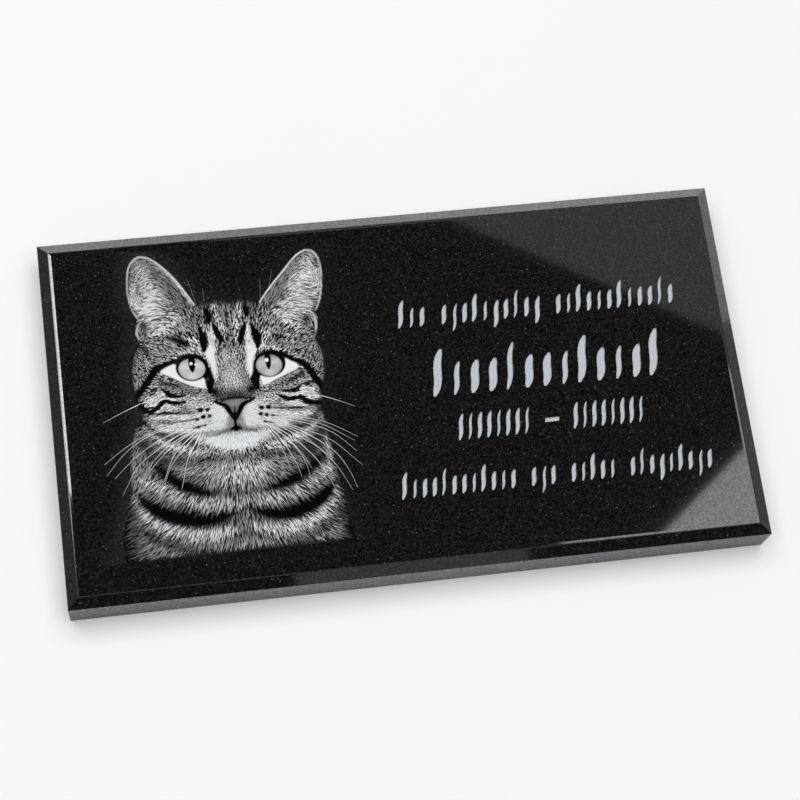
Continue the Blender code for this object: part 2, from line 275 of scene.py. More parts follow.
# %% Soft areas of the head
HEAD_AREAS = (
    # left ear
    (0.52, 1.5, ((-31, 121, 5), (-29.5, 112, 11), (-28, 104, 13), (-25, 101, 12))),
    (0.73, 2.5, ((-29, 114, 2), (-28, 108, 7), (-28, 103.5, 9))),
    (0.66, 1.2, ((-35, 114, 1.5), (-35, 108, 2.5), (-33.5, 102, 3))),
    (0.34, 0.8, ((-32.8, 115.5, 1), (-32.2, 112, 2), (-31.6, 110, 1))),
    (0.30, 2.2, ((-25.5, 121.5, 1.5), (-21, 115, 4), (-17, 109, 5), (-13.5, 104, 4))),
    # right ear
    (0.56, 1.5, ((37.5, 120, 4), (34.5, 112, 10), (32, 104, 13), (29, 100.5, 12))),
    (0.68, 2.5, ((35, 114, 3), (33, 107, 8), (31.5, 101.5, 9))),
    (0.66, 1.2, ((40.5, 114, 2), (40.5, 107, 2.5), (38.8, 100, 3))),
    (0.35, 2.2, ((28, 115.5, 2), (23.5, 110.5, 5), (19.5, 105, 6), (17, 101, 4))),
    # the folds at the feet of the ears
    (0.66, 1.8, ((-28, 94.5, 4), (-24, 95.5, 5), (-18.5, 99.2, 2))),
    (0.16, 0.9, ((-32.2, 97.4, 2.4), (-31.2, 95.6, 1.6))),
    (0.30, 1.2, ((-31.5, 95, 2), (-31.3, 91, 3))),
    (0.70, 0.8, ((-33, 99.2, 0.8), (-28, 100.6, 1), (-20, 101, 0.6))),
    (0.66, 1.8, ((29, 91.5, 3), (26, 95, 5), (22, 98, 3))),
    (0.16, 0.9, ((33.8, 94.4, 2.4), (33.6, 92.4, 2))),
    (0.30, 1.2, ((33.4, 92, 2), (32.5, 88, 2))),
    (0.70, 0.8, ((35.8, 96.2, 0.8), (33, 97.5, 1.2), (27, 99.5, 0.8))),
    # forehead
    (0.32, 2, ((1.5, 98, 6), (1.5, 88, 7.5), (1.5, 84, 7))),
    (0.51, 2.5, ((1.2, 81, 6), (1.2, 74, 8), (1.2, 69, 8))),
    (0.62, 2, ((1.2, 73, 5), (1.2, 69.5, 6))),
    (0.80, 0.7, ((-4.9, 95.5, 0.6), (-5.1, 91.5, 2.4), (-5.4, 87.5, 3.4), (-6.4, 84, 3.4))),
    (0.70, 0.8, ((-2.3, 99, 1), (-1.4, 95, 2), (-0.6, 91, 1.6), (-0.6, 88, 0.8))),
    (0.70, 0.8, ((5.8, 99, 1), (5.2, 95, 2), (4.6, 91, 1.6), (4.4, 87, 0.8))),
    (0.82, 0.7, ((9.2, 95, 0.5), (9.6, 91.5, 1.8), (9.4, 88, 3), (9.8, 84.5, 3.4))),
    (0.68, 0.9, ((-14.6, 92, 0.8), (-12.9, 88.6, 2.8), (-11.2, 85.4, 2.6), (-10.6, 84, 1.5))),
    (0.66, 0.9, ((17.6, 91, 0.8), (16.8, 88.2, 2.4), (15.2, 85.6, 2.2), (14.2, 84, 1.5))),
    (0.58, 0.8, ((-3, 103.4, 1.5), (-3, 100, 2), (-1.5, 96, 1.5))),
    (0.58, 0.8, ((6.9, 103, 1.5), (6.8, 99.5, 2), (5.6, 96, 1.5))),
    (0.08, 1, ((-22, 90.6, 1.2), (-18.5, 89.4, 2.8), (-15.6, 87.8, 2.6))),
    (0.12, 1, ((19, 88.2, 1), (20.6, 86.8, 2.6), (22.5, 87.4, 1))),
    (0.14, 1.2, ((-34.6, 88.5, 1.5), (-32, 86.6, 2.2), (-31, 83.6, 1.2))),
    (0.31, 2, ((-13, 99.5, 2), (-12, 96, 4), (-13, 91.5, 2))),
    (0.32, 2, ((-24, 86.5, 2.5), (-30, 82.5, 3.5))),
    (0.34, 1.8, ((19.5, 86, 2), (25.5, 82.8, 3))),
    (0.35, 2, ((31, 86, 3), (31.5, 82, 4), (33, 78, 2))),
    # round the eyes
    (0.74, 0.8, ((-9.6, 85, 1.5), (-14, 84.4, 1.6), (-19, 83.2, 1.2), (-21.6, 81.4, 0.6))),
    (0.74, 0.8, ((11.5, 84.2, 1.6), (17, 83.3, 1.4), (21.5, 81.4, 0.9), (26, 78.6, 0.5))),
    (0.30, 1.3, ((-25, 71.4, 2.2), (-19, 69, 3.6), (-14, 66.6, 3.4))),
    (0.37, 1.3, ((27, 69.4, 2.2), (21, 67.2, 3.6), (15.5, 65, 3.4))),
    (0.14, 0.6, ((-28.6, 74.4, 0.8), (-26, 72, 1.6), (-23, 71.2, 1.2), (-20.8, 70.4, 0.6))),
    (0.14, 0.6, ((22.5, 67.4, 0.8), (26, 69, 1.6), (29.4, 71.2, 1.8))),
    (0.52, 1.3, ((-20, 64.5, 2), (-15, 63.5, 4.4), (-12, 62, 4))),
    (0.56, 1.3, ((19, 62, 2), (15, 61.4, 4.4), (13, 60.5, 4))),
    (0.78, 0.8, ((-26.4, 77, 1.6), (-28, 76.2, 0.8))),
    (0.78, 0.8, ((27, 74, 2.6), (29.4, 73.8, 1))),
    # cheeks
    (0.77, 1.1, ((-34.5, 64.5, 1.5), (-31, 64.8, 5), (-28, 67.4, 3), (-26.5, 69.2, 0.8))),
    (0.80, 0.5, ((-27, 66.6, 0.8), (-24, 65, 1), (-20, 64.9, 0.8))),
    (0.52, 0.9, ((-35, 71, 1), (-31, 70.5, 2.4), (-28, 72, 1))),
    (0.78, 0.7, ((-30.5, 60.4, 0.8), (-26, 61.8, 2.2), (-21.4, 61.2, 1.4))),
    (0.60, 1.2, ((-18.6, 62.4, 2), (-14, 61.4, 3.2), (-10.5, 61.4, 1.6))),
    (0.76, 0.8, ((-33, 58, 0.8), (-26, 57.6, 2), (-18, 57.2, 2))),
    (0.74, 1, ((-33, 54.5, 1), (-26, 53, 3), (-19, 53, 3))),
    (0.80, 1.1, ((34, 60, 1.5), (31.4, 62.4, 5), (28.8, 65.2, 2.6), (27.8, 67, 0.8))),
    (0.82, 0.6, ((20.6, 63, 0.8), (24.5, 62.2, 1.4), (29, 62.8, 2))),
    (0.78, 0.8, ((20, 59.4, 1), (25, 58.6, 2.6), (29.5, 57.2, 1))),
    (0.74, 1, ((33, 54, 1), (26, 53.6, 3), (19, 53.6, 3))),
    # muzzle and chin
    (0.77, 3, ((-9.5, 60, 2.4), (-13, 56, 7), (-20, 53.6, 5))),
    (0.75, 3, ((11, 59.6, 3), (14, 55.5, 7), (20, 53.4, 5))),
    (0.88, 1.8, ((-7, 61.4, 3), (-5.6, 57, 6.6), (-6, 53.6, 5))),
    (0.86, 1.8, ((8.4, 60.8, 2.6), (6.8, 56.6, 6.4), (7.2, 53.4, 5))),
    (0.80, 1.8, ((-5, 52.6, 4), (-12, 51.6, 3.5), (-19, 51.2, 2))),
    (0.80, 1.8, ((6, 52.6, 4), (13, 51.6, 3.5), (20, 51.2, 2))),
    (0.52, 1, ((-1.2, 54, 1.6), (-2.2, 51.8, 1.6))),
    (0.52, 1, ((1.8, 54, 1.6), (2.8, 51.8, 1.6))),
    (0.70, 1.6, ((-15, 48, 1.8), (-10, 46.4, 4), (0, 45.4, 6), (9, 46.4, 4), (14, 48, 1.8))),
    (0.85, 1.8, ((-10, 46.4, 3.4), (-5, 45.2, 6.4), (0, 44.6, 7.4), (5, 45.2, 6.4), (10, 46.4, 3.4))),
    (0.34, 0.7, ((-1.4, 50.6, 1), (-4.4, 49.4, 0.9), (-8.4, 48.2, 0.6))),
    (0.34, 0.7, ((1.8, 50.6, 1), (5, 49.4, 0.9), (8.6, 48.6, 0.6))),
    # jaw
    (0.14, 1.2, ((-36.6, 57.6, 1.6), (-32.6, 52.4, 2.2), (-27, 48.8, 2.4), (-21, 47.6, 2.2),
        (-16.6, 45.4, 1.6))),
    (0.14, 1.2, ((35.2, 56.2, 1.6), (32, 51.8, 2), (27, 48.6, 2.2), (21, 47.4, 2.2),
        (17.6, 45.2, 1.6))),
    (0.63, 1.4, ((-36, 54.4, 1), (-33, 50.2, 2.4), (-28, 46.2, 3.6), (-20, 43, 3.4),
        (-12, 42.2, 1.4))),
    (0.65, 1.4, ((35, 52.6, 1), (32.6, 49.2, 2.2), (28, 45.6, 3.4), (20, 42.6, 3.4), (12, 41.8, 1.4))),
)
# the ears' rims, which no hair crosses
RIMS = (
    (0.86, 0.3, ((-29, 126.8, 0.7), (-26, 125.4, 0.8), (-20.5, 119.8, 0.8), (-15.5, 112.8, 0.9),
        (-10.8, 104.6, 0.9))),
    (0.74, 0.3, ((-34, 100.8, 0.9), (-36.2, 105, 0.8), (-37, 111, 0.8), (-36.6, 118, 0.8),
        (-35.2, 123.5, 0.9), (-31.6, 126.9, 1), (-28, 126.4, 0.7))),
    (0.86, 0.3, ((15.5, 103, 0.9), (20.6, 109, 0.8), (26.6, 115.6, 0.8), (32.3, 121.5, 0.8),
        (36.5, 123.8, 0.8))),
    (0.74, 0.3, ((36, 123.8, 0.7), (39.3, 123, 1), (41.4, 119.5, 0.9), (41.9, 114, 0.8),
        (41.4, 108, 0.8), (40.1, 101.6, 0.9), (38, 97.2, 0.9))),
    (0.78, 0.4, ((-34, 91, 0.6), (-34.8, 94.5, 1.3), (-33.6, 98.2, 1), (-31.6, 99.8, 0.5))),
    (0.76, 0.4, ((36.6, 86.5, 0.6), (37.3, 91, 1.2), (36.8, 94.9, 1.1), (35, 96.6, 0.5))),
)
# pure white beside the nose and under the eyes
WHITES = (
    ((-10.6, 85.2), (-9.2, 83.2), (-8.2, 81), (-7.2, 78), (-6.7, 75), (-6.2, 72.8), (-5.6, 71.4),
        (-4.7, 73.4), (-4.2, 77), (-4.5, 81), (-5, 86)),
    ((14.2, 84.6), (12.6, 82.4), (11.2, 80.4), (10.4, 77.8), (9.9, 74.6), (9.3, 72.4), (8.5, 70.8),
        (7.7, 73.2), (7.2, 76.5), (7.6, 80), (8.6, 85)),
    ((-21.6, 80), (-24.6, 78.9), (-26.6, 77.6), (-26.8, 76.4), (-25.4, 75.4), (-22.8, 74), (-19.6, 72),
        (-16.2, 70.1), (-13, 68.8), (-10.2, 68.2), (-9.6, 70.4), (-9.8, 73.2), (-15, 76)),
    ((23.4, 78), (25.4, 76.8), (27.4, 75.4), (28, 73.6), (26.6, 72.2), (24, 71.3), (21.4, 70.2),
        (18, 68.8), (15, 67.4), (12.9, 67.3), (12.2, 69.4), (12.4, 71.8), (17, 74)),
)

# %% Crisp dark markings of the head
HEAD_MARKS = (
    # forehead
    (0.04, 0.4, ((-9.9, 93.4, 0.8), (-9, 91, 2.5), (-8.6, 88.6, 3.4), (-8.7, 86.2, 3),
        (-8.9, 84, 0.8))),
    (0.05, 0.35, ((-3.9, 95, 0.6), (-3.2, 92.4, 2.3), (-2.3, 89.8, 2.4), (-1.8, 87, 0.6))),
    (0.05, 0.35, ((8.7, 94.4, 0.6), (7.6, 91.5, 2.4), (6.6, 88.6, 2.2), (6.1, 85.6, 0.6))),
    (0.04, 0.4, ((11, 93.4, 0.8), (11.9, 91, 2.4), (12.9, 88.4, 3.6), (13, 86, 3),
        (12.6, 82.9, 0.6))),
    (0.06, 0.6, ((-6.6, 102, 0.8), (-5.9, 99.4, 3), (-4.8, 96.4, 1))),
    (0.06, 0.6, ((9.2, 102, 0.8), (9.8, 99.4, 2.6), (9.9, 97.4, 0.6))),
    (0.10, 0.4, ((-1.6, 87.4, 0.5), (-1, 89, 0.9), (-0.3, 90, 0.4))),
    # temples and cheeks
    (0.03, 0.4, ((-20.6, 81.2, 1), (-24.5, 79.9, 1.2), (-28.2, 78.7, 2.1), (-31, 75.4, 2.3),
        (-34, 71.4, 2.4), (-37.2, 67.4, 2.1))),
    (0.03, 0.4, ((21.4, 80.4, 1.6), (23.6, 78.8, 1.3), (25.8, 77.2, 1.2), (29, 75.9, 1.8),
        (31.2, 73.6, 2.1), (33.4, 69.8, 2.3), (36.6, 63.6, 2.1))),
    (0.05, 0.4, ((-36, 63.4, 1.4), (-33.8, 60.9, 1.2), (-31, 61, 1.4), (-28.6, 63, 1.5),
        (-26, 64.6, 1.4), (-22.8, 63.3, 1.3), (-18.6, 63.4, 0.8))),
    (0.05, 0.4, ((-27, 70, 0.6), (-25, 67.5, 1.3), (-22.4, 66.1, 1.4), (-18.6, 66, 0.6))),
    (0.14, 0.5, ((-30.8, 69.4, 0.9), (-30, 69.8, 1.6), (-29.2, 70.4, 0.8))),
    (0.14, 0.3, ((-31.5, 59.8, 0.35), (-26, 59.3, 0.5), (-20, 58.7, 0.2), (-15.5, 58.9, 0.2))),
    (0.20, 0.4, ((-21, 55.2, 0.3), (-18, 55.6, 0.4), (-15, 55.9, 0.4))),
    (0.05, 0.4, ((19, 62.5, 0.6), (22, 60.6, 1.6), (25, 60.7, 1.5), (28, 60.5, 1.7), (30.2, 58.4, 1.9),
        (35.6, 57.6, 1.8))),
    (0.06, 0.4, ((20.6, 64.4, 0.6), (23.6, 63.8, 1.4), (26.4, 64.6, 1.1), (28.4, 66.6, 0.5))),
    (0.16, 0.5, ((29.6, 66, 0.8), (30.6, 66.4, 1.4), (31.4, 66.6, 0.7))),
    (0.14, 0.3, ((15.5, 57.6, 0.2), (19, 57.1, 0.3), (22.8, 56.7, 0.6), (28, 56.6, 0.5))),
    (0.20, 0.4, ((14.8, 54.4, 0.3), (18, 53.6, 0.3), (22, 52.6, 0.2))),
    (0.16, 0.35, ((-16.5, 52.2, 0.3), (-14.4, 52.6, 0.5), (-12.4, 52.9, 0.3))),
    (0.16, 0.35, ((11.6, 52.2, 0.3), (13.6, 51.7, 0.5), (16, 51, 0.3))),
    # nose and mouth
    (0.12, 0.3, ((-4.4, 62.6, 0.4), (-2, 63, 0.6), (1, 63.1, 0.6), (4, 63, 0.6), (6.4, 62.5, 0.4))),
    (0.03, 0.3, ((-6.6, 62.4, 1), (-4.8, 61.2, 1), (-2.9, 60.3, 1.7), (-1.9, 58.8, 1.9),
        (-1.1, 57, 1.5), (0.2, 54.8, 1.6))),
    (0.03, 0.3, ((8.5, 62.2, 1), (6.6, 61.2, 1), (4.4, 60.3, 1.7), (3.3, 58.8, 1.9), (2.3, 57, 1.5),
        (0.9, 54.8, 1.6))),
    (0.06, 0.25, ((0.7, 59.6, 0.3), (0.7, 57.8, 0.6), (0.5, 55.8, 1.4))),
    (0.03, 0.3, ((0.5, 55.8, 2.4), (0.4, 53.4, 1), (0.4, 51.8, 1), (0.5, 50.4, 2.4))),
    (0.05, 0.35, ((-1.8, 50.2, 0.5), (0.4, 50.7, 1.3), (2.6, 50.2, 0.5))),
)
# black where the inner corners of the eyes run down to the nose
CORNERS = (
    ((-9.6, 77.6), (-7.6, 76.6), (-6.9, 74.4), (-6.6, 72.6), (-6.1, 71.2), (-6.8, 69.6), (-7.3, 67.6),
        (-8.2, 65.8), (-8.9, 67.6), (-9.2, 69.8), (-9.8, 72.2), (-10.4, 73.6)),
    ((11.4, 77.4), (10.4, 76.2), (10, 74), (9.5, 72.4), (8.4, 70.9), (8.5, 69.6), (9.4, 67.8),
        (10.6, 65.6), (11.3, 67.6), (11.6, 69.8), (12.3, 71.4), (12.6, 72.6)),
)
NOSE_LEATHER = ((-4, 61.6), (-3, 62.4), (1, 62.7), (5, 62.4), (6, 61.6), (4.2, 60.9), (2.9, 59.8),
    (2.2, 58.4), (1.9, 57), (0.8, 56.4), (-0.3, 57), (-0.7, 58.4), (-1.4, 59.8), (-2.6, 60.9))
WHISKER_ROOTS = ((-12.8, 59.4, 0.85), (-10.1, 59.3, 0.65), (-14.5, 55.7, 0.6), (-12, 56.5, 0.8),
    (-9.5, 56.6, 0.6), (-14.4, 52.4, 0.45), (-11.6, 52.9, 0.4), (11.4, 58, 0.75), (14.1, 57.9, 0.8),
    (10.8, 55.4, 0.65), (13.1, 54.8, 0.65), (15.6, 54.1, 0.5), (12.2, 52.1, 0.4))

# %% The chest's light fur and dark bands
CHEST_AREAS = (
    (0.20, 1.8, ((-30, 40, 4), (-18, 39, 3.4), (-8, 38.8, 1.6))),
    (0.20, 1.8, ((8, 38.8, 1.6), (18, 39, 3.4), (28, 40, 4))),
    (0.42, 3, ((-20, 35.5, 3), (-9, 32.6, 9), (0, 31.6, 10), (9, 32.6, 9), (19, 35.5, 3))),
    (0.61, 3, ((-9, 34, 3), (0, 32, 9), (9, 34, 3))),
    (0.15, 2, ((-36, 48, 4), (-32, 42, 5), (-28, 37, 3))),
    (0.13, 2, ((34, 47, 4), (31, 42, 5), (27, 37, 4))),
    (0.50, 1.2, ((-40.8, 43, 1.2), (-40.8, 35, 2.6), (-40.6, 28, 1.5))),
    (0.47, 1.2, ((35.2, 43, 1.2), (35.8, 35, 2.4), (35.8, 27, 1.5))),
    (0.33, 2, ((-38, 40, 3), (-37, 35, 4))),
    (0.50, 1.6, ((-38.5, 33, 2.5), (-31, 29.5, 5), (-22, 24.2, 5), (-12, 21.6, 5), (0, 20.6, 5),
        (12, 21.3, 5.4), (21, 23.4, 5.4), (29, 28.2, 5), (35, 31.5, 2.5))),
    (0.57, 1.6, ((-36, 31, 1), (-30, 28.5, 2.5), (-24, 25.5, 1.5))),
    (0.55, 1.6, ((34, 29.6, 1), (28, 26.4, 2.2), (22, 23.6, 1.5))),
    (0.69, 1.2, ((-41.6, 27, 0.8), (-38.2, 19.6, 2.6), (-31, 13.6, 4), (-22, 10, 4.8), (-13, 8.6, 5),
        (-5, 10, 3))),
    (0.71, 1.2, ((37, 23, 0.8), (34, 16.8, 2.6), (28, 12, 4.2), (18, 8.8, 5), (9, 8.8, 4.6), (3, 11, 2))),
    (0.18, 1, ((-41, 14, 1.5), (-34, 8.6, 2.6), (-26, 4.2, 2.6), (-18, 2, 1.2))),
    (0.20, 1, ((36, 12, 1.5), (30.5, 7, 2.6), (24, 3.2, 2.4), (17, 2, 1))),
    (0.22, 0.8, ((-8, 3.6, 0.8), (-3, 7.4, 1.6), (0, 8.6, 1.6), (3.4, 7.6, 1.6), (8.5, 4, 0.8))),
    (0.37, 1.2, ((-38, 7, 2), (-31, 3.2, 3), (-24, 0.5, 2.5))),
    (0.42, 1.2, ((35, 7, 2), (29, 2.6, 3), (22, 0.5, 2))),
    (0.40, 1.5, ((-12, 2, 4), (0, 3, 5), (12, 2, 4))),
    (0.22, 2, ((-46, 18, 3), (-46, 8, 6), (-46, 1, 7))),
    (0.16, 2, ((38.5, 14, 2), (38.5, 6, 3), (38.5, 1, 4))),
)
DARK_BANDS = (
    (0.04, 1, ((-33, 38.6, 1.4), (-28.5, 34.6, 3.8), (-24.5, 31, 5), (-19.5, 28.2, 4.9),
        (-14.5, 26, 3.6), (-8, 25.4, 0.8))),
    (0.04, 1, ((33.5, 37.2, 1.2), (29, 33, 4.2), (24, 29.6, 5), (18, 26.9, 4.8), (12.5, 25.5, 3.2),
        (7.5, 25.2, 0.8))),
    (0.24, 1.4, ((-10, 25.2, 1), (0, 24.6, 1.6), (9, 25, 1))),
    (0.03, 0.9, ((-40.2, 27.6, 1.2), (-36.2, 22.9, 5), (-29, 18.1, 6.6), (-20, 15.4, 6.4),
        (-12, 14.8, 5), (-6, 16, 2.8), (-1, 18, 0.8))),
    (0.03, 0.9, ((36.4, 25.8, 1.2), (33, 21.3, 5), (27, 17.2, 6.3), (18, 14.6, 6.3), (10, 15, 4.8),
        (4.5, 17.2, 2.6), (1, 19, 0.8))),
)

# %% The eyes: rim, iris, pupil and the catchlights
EYES = (
    dict(rim=(-14.5, 77.5, 6.35, 5.6, -10), iris=(-14.5, 77, 5.4, 4.7, -8), shade=0.72,
         pupil=((-14.3, 81.8, 2.2), (-14.2, 79.2, 2.8), (-14.3, 77.2, 2), (-14.3, 75.6, 0.4)),
         lights=((-14.6, 79.3, 0.65), (-12.9, 78.8, 0.45))),
    dict(rim=(16.7, 76, 6.35, 5.5, 8), iris=(16.4, 75.5, 5.3, 4.75, -8), shade=0.66,
         pupil=((16.1, 80.2, 1.9), (16.1, 78, 2.5), (16.2, 75.8, 1.8), (16.2, 73.9, 0.4)),
         lights=((15.6, 77.8, 0.85),)),
)

# %% Paint the picture on the sheet
CHEST_GREY = 0.32
HEAD_GREY = 0.39
chest_tone = np.full(SHEET, CHEST_GREY)
for mark in CHEST_AREAS + DARK_BANDS:
    lay_line(chest_tone, *mark)
head_tone = np.full(SHEET, HEAD_GREY)
crown = np.minimum(SHEET_V - 96.5, np.minimum(SHEET_U + 12, 17 - SHEET_U))
lay(head_tone, 0.28, ease(0.5 + crown / 6))
lay(head_tone, 0.33, ease(0.5 + np.maximum(-33.5 - SHEET_U, SHEET_U - 34) / 5))
for mark in HEAD_AREAS + RIMS:
    lay_line(head_tone, *mark)
lay_oval(head_tone, 0.17, 2.8, (0.8, 64.0, 6.4, 2.6))
for u in (-6.4, 8.4):
    lay_oval(head_tone, 0.06, 1.6, (u, 66.4, 1.5, 1.7))
white_share = np.zeros(SHEET)
for loop in WHITES:
    lay_loop(white_share, 1.0, 0.8, loop)
lay(head_tone, 0.90, white_share)
white_share *= 1 - ease((SHEET_V - 79.5) / 4)
nose_depth = loop_depth(SHEET_U, SHEET_V, through(NOSE_LEATHER + NOSE_LEATHER[:1], 3))
lay(head_tone, 0.43, ease(0.5 + nose_depth / 0.5))
lay_oval(head_tone, 0.54, 1.6, (1.0, 61.0, 2.4, 0.9))
for mark in HEAD_MARKS:
    lay_line(head_tone, *mark)
for loop in CORNERS:
    lay_loop(head_tone, 0.03, 0.35, loop)
lay_oval(head_tone, 0.20, 0.5, (-8.7, 72.0, 0.8, 0.8))
for u, v, radius in WHISKER_ROOTS:
    lay_oval(head_tone, 0.06, 0.3, (u, v, 1.2 * radius, radius))
for eye in EYES:
    lay_oval(head_tone, 0.03, 0.25, eye["rim"])
    depth = oval_depth(SHEET_U, SHEET_V, *eye["iris"])
    rise = SHEET_V - eye["iris"][1]
    rays = np.sin(3 * np.arctan2(rise, SHEET_U - eye["iris"][0]))
    iris_tone = eye["shade"] - 0.14 * ease((rise - 1) / 4) + 0.05 * rays - 0.12 * ease((1.2 - depth) / 1.2)
    lay(head_tone, iris_tone, ease(0.5 + depth / 0.5))
    lay_line(head_tone, 0.02, 0.25, eye["pupil"])
    for u, v, radius in eye["lights"]:
        lay_oval(head_tone, 0.97, 0.2, (u, v, radius, radius))
tone = chest_tone * chest_share * (1 - head_share) + head_tone * head_share
figure_depth = np.maximum(head_depth, chest_depth)
haze = 0.12 * ease((figure_depth + 12) / 12) * foot_share * (1 - 0.4 * ease((SHEET_U + 10) / 20))
tone = np.maximum(tone, haze * (1 - np.maximum(head_share, chest_share)))
print("lightness", round(float(tone.min()), 2), "to", round(float(tone.max()), 2))

# %% [markdown]
# ## How deep the point goes
#
# Etching takes the polish off and leaves a shallow recess. The soft bands on the chest are cut less
# deep, so that light hair tips can cross them. The markings that stay black could stand at the
# face's level, but their walls would catch the light and draw a bright line round each. They are
# only a little higher than the floor instead, and the finish makes them black.

# %% Depth below the face, in millimetres
bare = np.zeros(SHEET)
islands = np.zeros(SHEET)
for eye in EYES:
    lay_oval(bare, 1.0, 0.3, eye["rim"])
lay(bare, 1.0, ease(0.5 + nose_depth / 0.5))
for value, soft, points in HEAD_MARKS + RIMS:
    lay_line(bare, 1.0, 0.3, [(a, b, 0.7 * width) for a, b, width in points])
for u, v, radius in WHISKER_ROOTS:
    lay_oval(bare, 1.0, 0.3, (u, v, radius, radius))
for value, soft, points in HEAD_MARKS:
    if soft < 0.5:
        lay_line(islands, 1.0, 0.7, points)
for loop in CORNERS:
    lay_loop(bare, 1.0, 0.3, loop)
    lay_loop(islands, 1.0, 0.7, loop)
for eye in EYES:
    lay_oval(islands, 1.0, 0.7, eye["rim"])
    lay_oval(islands, 0.0, 0.7, eye["iris"])

recess = ETCH_DEPTH * ease(0.1 + np.minimum(figure_depth, SHEET_V + 0.2) / 2.4)
for value, soft, points in DARK_BANDS[:2] + DARK_BANDS[3:]:
    lay_line(recess, SOFT_BAND_DEPTH, 1.6, points)
recess -= ISLAND_RISE * islands * ease(recess / ETCH_DEPTH)
soft_edge = np.maximum(on_crown, ease((62 - SHEET_V) / 2))
reached = SOFT_EDGE_DEPTH * ease((figure_depth + 4) / 3) * ease((SHEET_V + 0.2) / 1.2) * soft_edge
recess = np.maximum(recess, reached)
print("deepest", round(float(recess.max()), 3), "mm")


def read(field, u, v):
    """A field's values between the sheet's lines."""
    column = np.interp(u, U_LINES, np.arange(len(U_LINES)))
    row = np.interp(v, V_LINES, np.arange(len(V_LINES)))
    left = np.minimum(column.astype(int), len(U_LINES) - 2)
    below = np.minimum(row.astype(int), len(V_LINES) - 2)
    s = column - left
    t = row - below
    low = (1 - s) * field[below, left] + s * field[below, left + 1]
    high = (1 - s) * field[below + 1, left] + s * field[below + 1, left + 1]
    return (1 - t) * low + t * high


# %% [markdown]
# ## Whiskers
#
# A whisker is one long cut of the point, widest at the root and fine at the tip. Past the head it
# runs in a shallow groove of its own, so the sheet is pressed down along it first. The line itself
# comes later, as a strand that lies in the groove.

# %% Whisker paths, root first
WHISKERS = (
    ((-19.5, 55.2), (-31.5, 52.5), (-42.5, 47.5), (-52.5, 40.7)),
    ((-21.5, 54), (-33.5, 51), (-43.5, 45), (-52, 36)),
    ((-22.5, 50), (-31.5, 44.5), (-39.5, 38.5), (-46.5, 27.5)),
    ((-16.5, 51), (-26.5, 46), (-35.5, 37.5), (-41, 26.5)),
    ((-15.5, 50.5), (-24.5, 42.5), (-29.5, 32.5), (-31, 29.5)),
    ((-14.5, 50), (-21.5, 43.5), (-26.5, 37.5), (-30, 30)),
    ((-13.5, 49.5), (-19.5, 40.5), (-22.5, 30.5), (-23.5, 27.5)),
    ((-17.5, 52), (-26.5, 48), (-34.5, 43.5)),
    ((-13.5, 50.5), (-17.5, 43.5), (-20, 36.5)),
    ((-36, 64.5), (-43.5, 61.5), (-51.5, 58)),
    ((14.5, 54), (24.5, 52), (35.5, 48), (46.5, 40.5)),
    ((15.5, 53.5), (25.5, 52.5), (36.5, 49), (48, 42)),
    ((16.5, 52), (26.5, 47.5), (37.5, 41.5), (48.5, 30)),
    ((15.5, 51), (23.5, 45.5), (32.5, 38.5), (38.5, 30.5), (43.5, 20)),
    ((14.5, 50.5), (22.5, 44), (30.5, 34.5), (35.5, 24.5), (38, 16.5)),
    ((13.5, 50), (18.5, 42.5), (22.5, 33.5), (24, 27.5)),
    ((14.5, 50), (20.5, 43.5), (25.5, 35.5), (27.5, 27.5)),
    ((11.5, 49.5), (14.5, 42.5), (15.5, 35.5)),
    ((16.5, 51.5), (27, 46), (37.5, 37.5), (42.5, 29.5), (45.5, 21)),
    ((33, 61.5), (40.5, 58.5), (48.5, 54.7)),
    ((12.5, 50), (16.5, 43), (19, 35.5), (20, 30.5)),
    ((13.5, 50.5), (19.8, 44.5), (25, 37.5), (28.5, 30.5)),
    ((15, 51.5), (24.2, 46.5), (31.2, 40), (36.5, 33)),
    ((17, 53), (28, 49.8), (38.5, 44.5), (47, 36)),
    ((-15.5, 51.5), (-25.2, 45.5), (-33, 38.5), (-39, 31)),
    ((-18, 53), (-30, 48.6), (-40, 42.5), (-49, 34.5)),
    ((-12.5, 50), (-15.8, 43.5), (-17.6, 37.5)),
)
BROW_HAIRS = (
    ((-10, 104), (-11, 109), (-12.5, 115.5)),
    ((-6.7, 105), (-6.7, 111)),
    ((16, 104), (17, 113)),
    ((20, 109), (22, 116)),
)
GROOVE_DEPTH = 0.06
grooves = np.zeros(SHEET)
for path in WHISKERS + BROW_HAIRS:
    lay_line(grooves, GROOVE_DEPTH, 0.6, [(u, v, 0.9) for u, v in path])
recess = np.maximum(recess, grooves)
border = np.minimum(np.minimum(SHEET_U - U_LINES[0], U_LINES[-1] - SHEET_U),
                    np.minimum(SHEET_V - V_LINES[0], V_LINES[-1] - SHEET_V))
recess *= ease(border / 0.8)
print(len(WHISKERS), "whiskers and", len(BROW_HAIRS), "brow hairs")

# %% [markdown]
# ## The rows of strokes
#
# The real inscription is blasted through a stencil, and leaves flat frosted floors with steep
# walls. The words aren't this marker's to keep, so rows of slanted strokes with the same heights,
# lengths and gaps stand in their place. They are no letters. Each has two sides that swell from a
# pointed foot to a pointed head.

# %% Outlines of the strokes
ROWS_GAP = 0.0185
ROWS_LEFT = NOSE_LINE_X + RIGHT_OF_NOSE + ROWS_GAP
ROWS_RIGHT = FACE_X - 0.0126
ROWS_LENGTH = ROWS_RIGHT - ROWS_LEFT
LOWEST_BASELINE = -FACE_Y + 0.0241
SLANT = math.tan(math.radians(14))
SWELL = ((0.0, 0.35), (0.15, 0.92), (0.5, 1.0), (0.85, 0.92), (1.0, 0.35))
SWELL_STATIONS = 9
CURL = 0.03
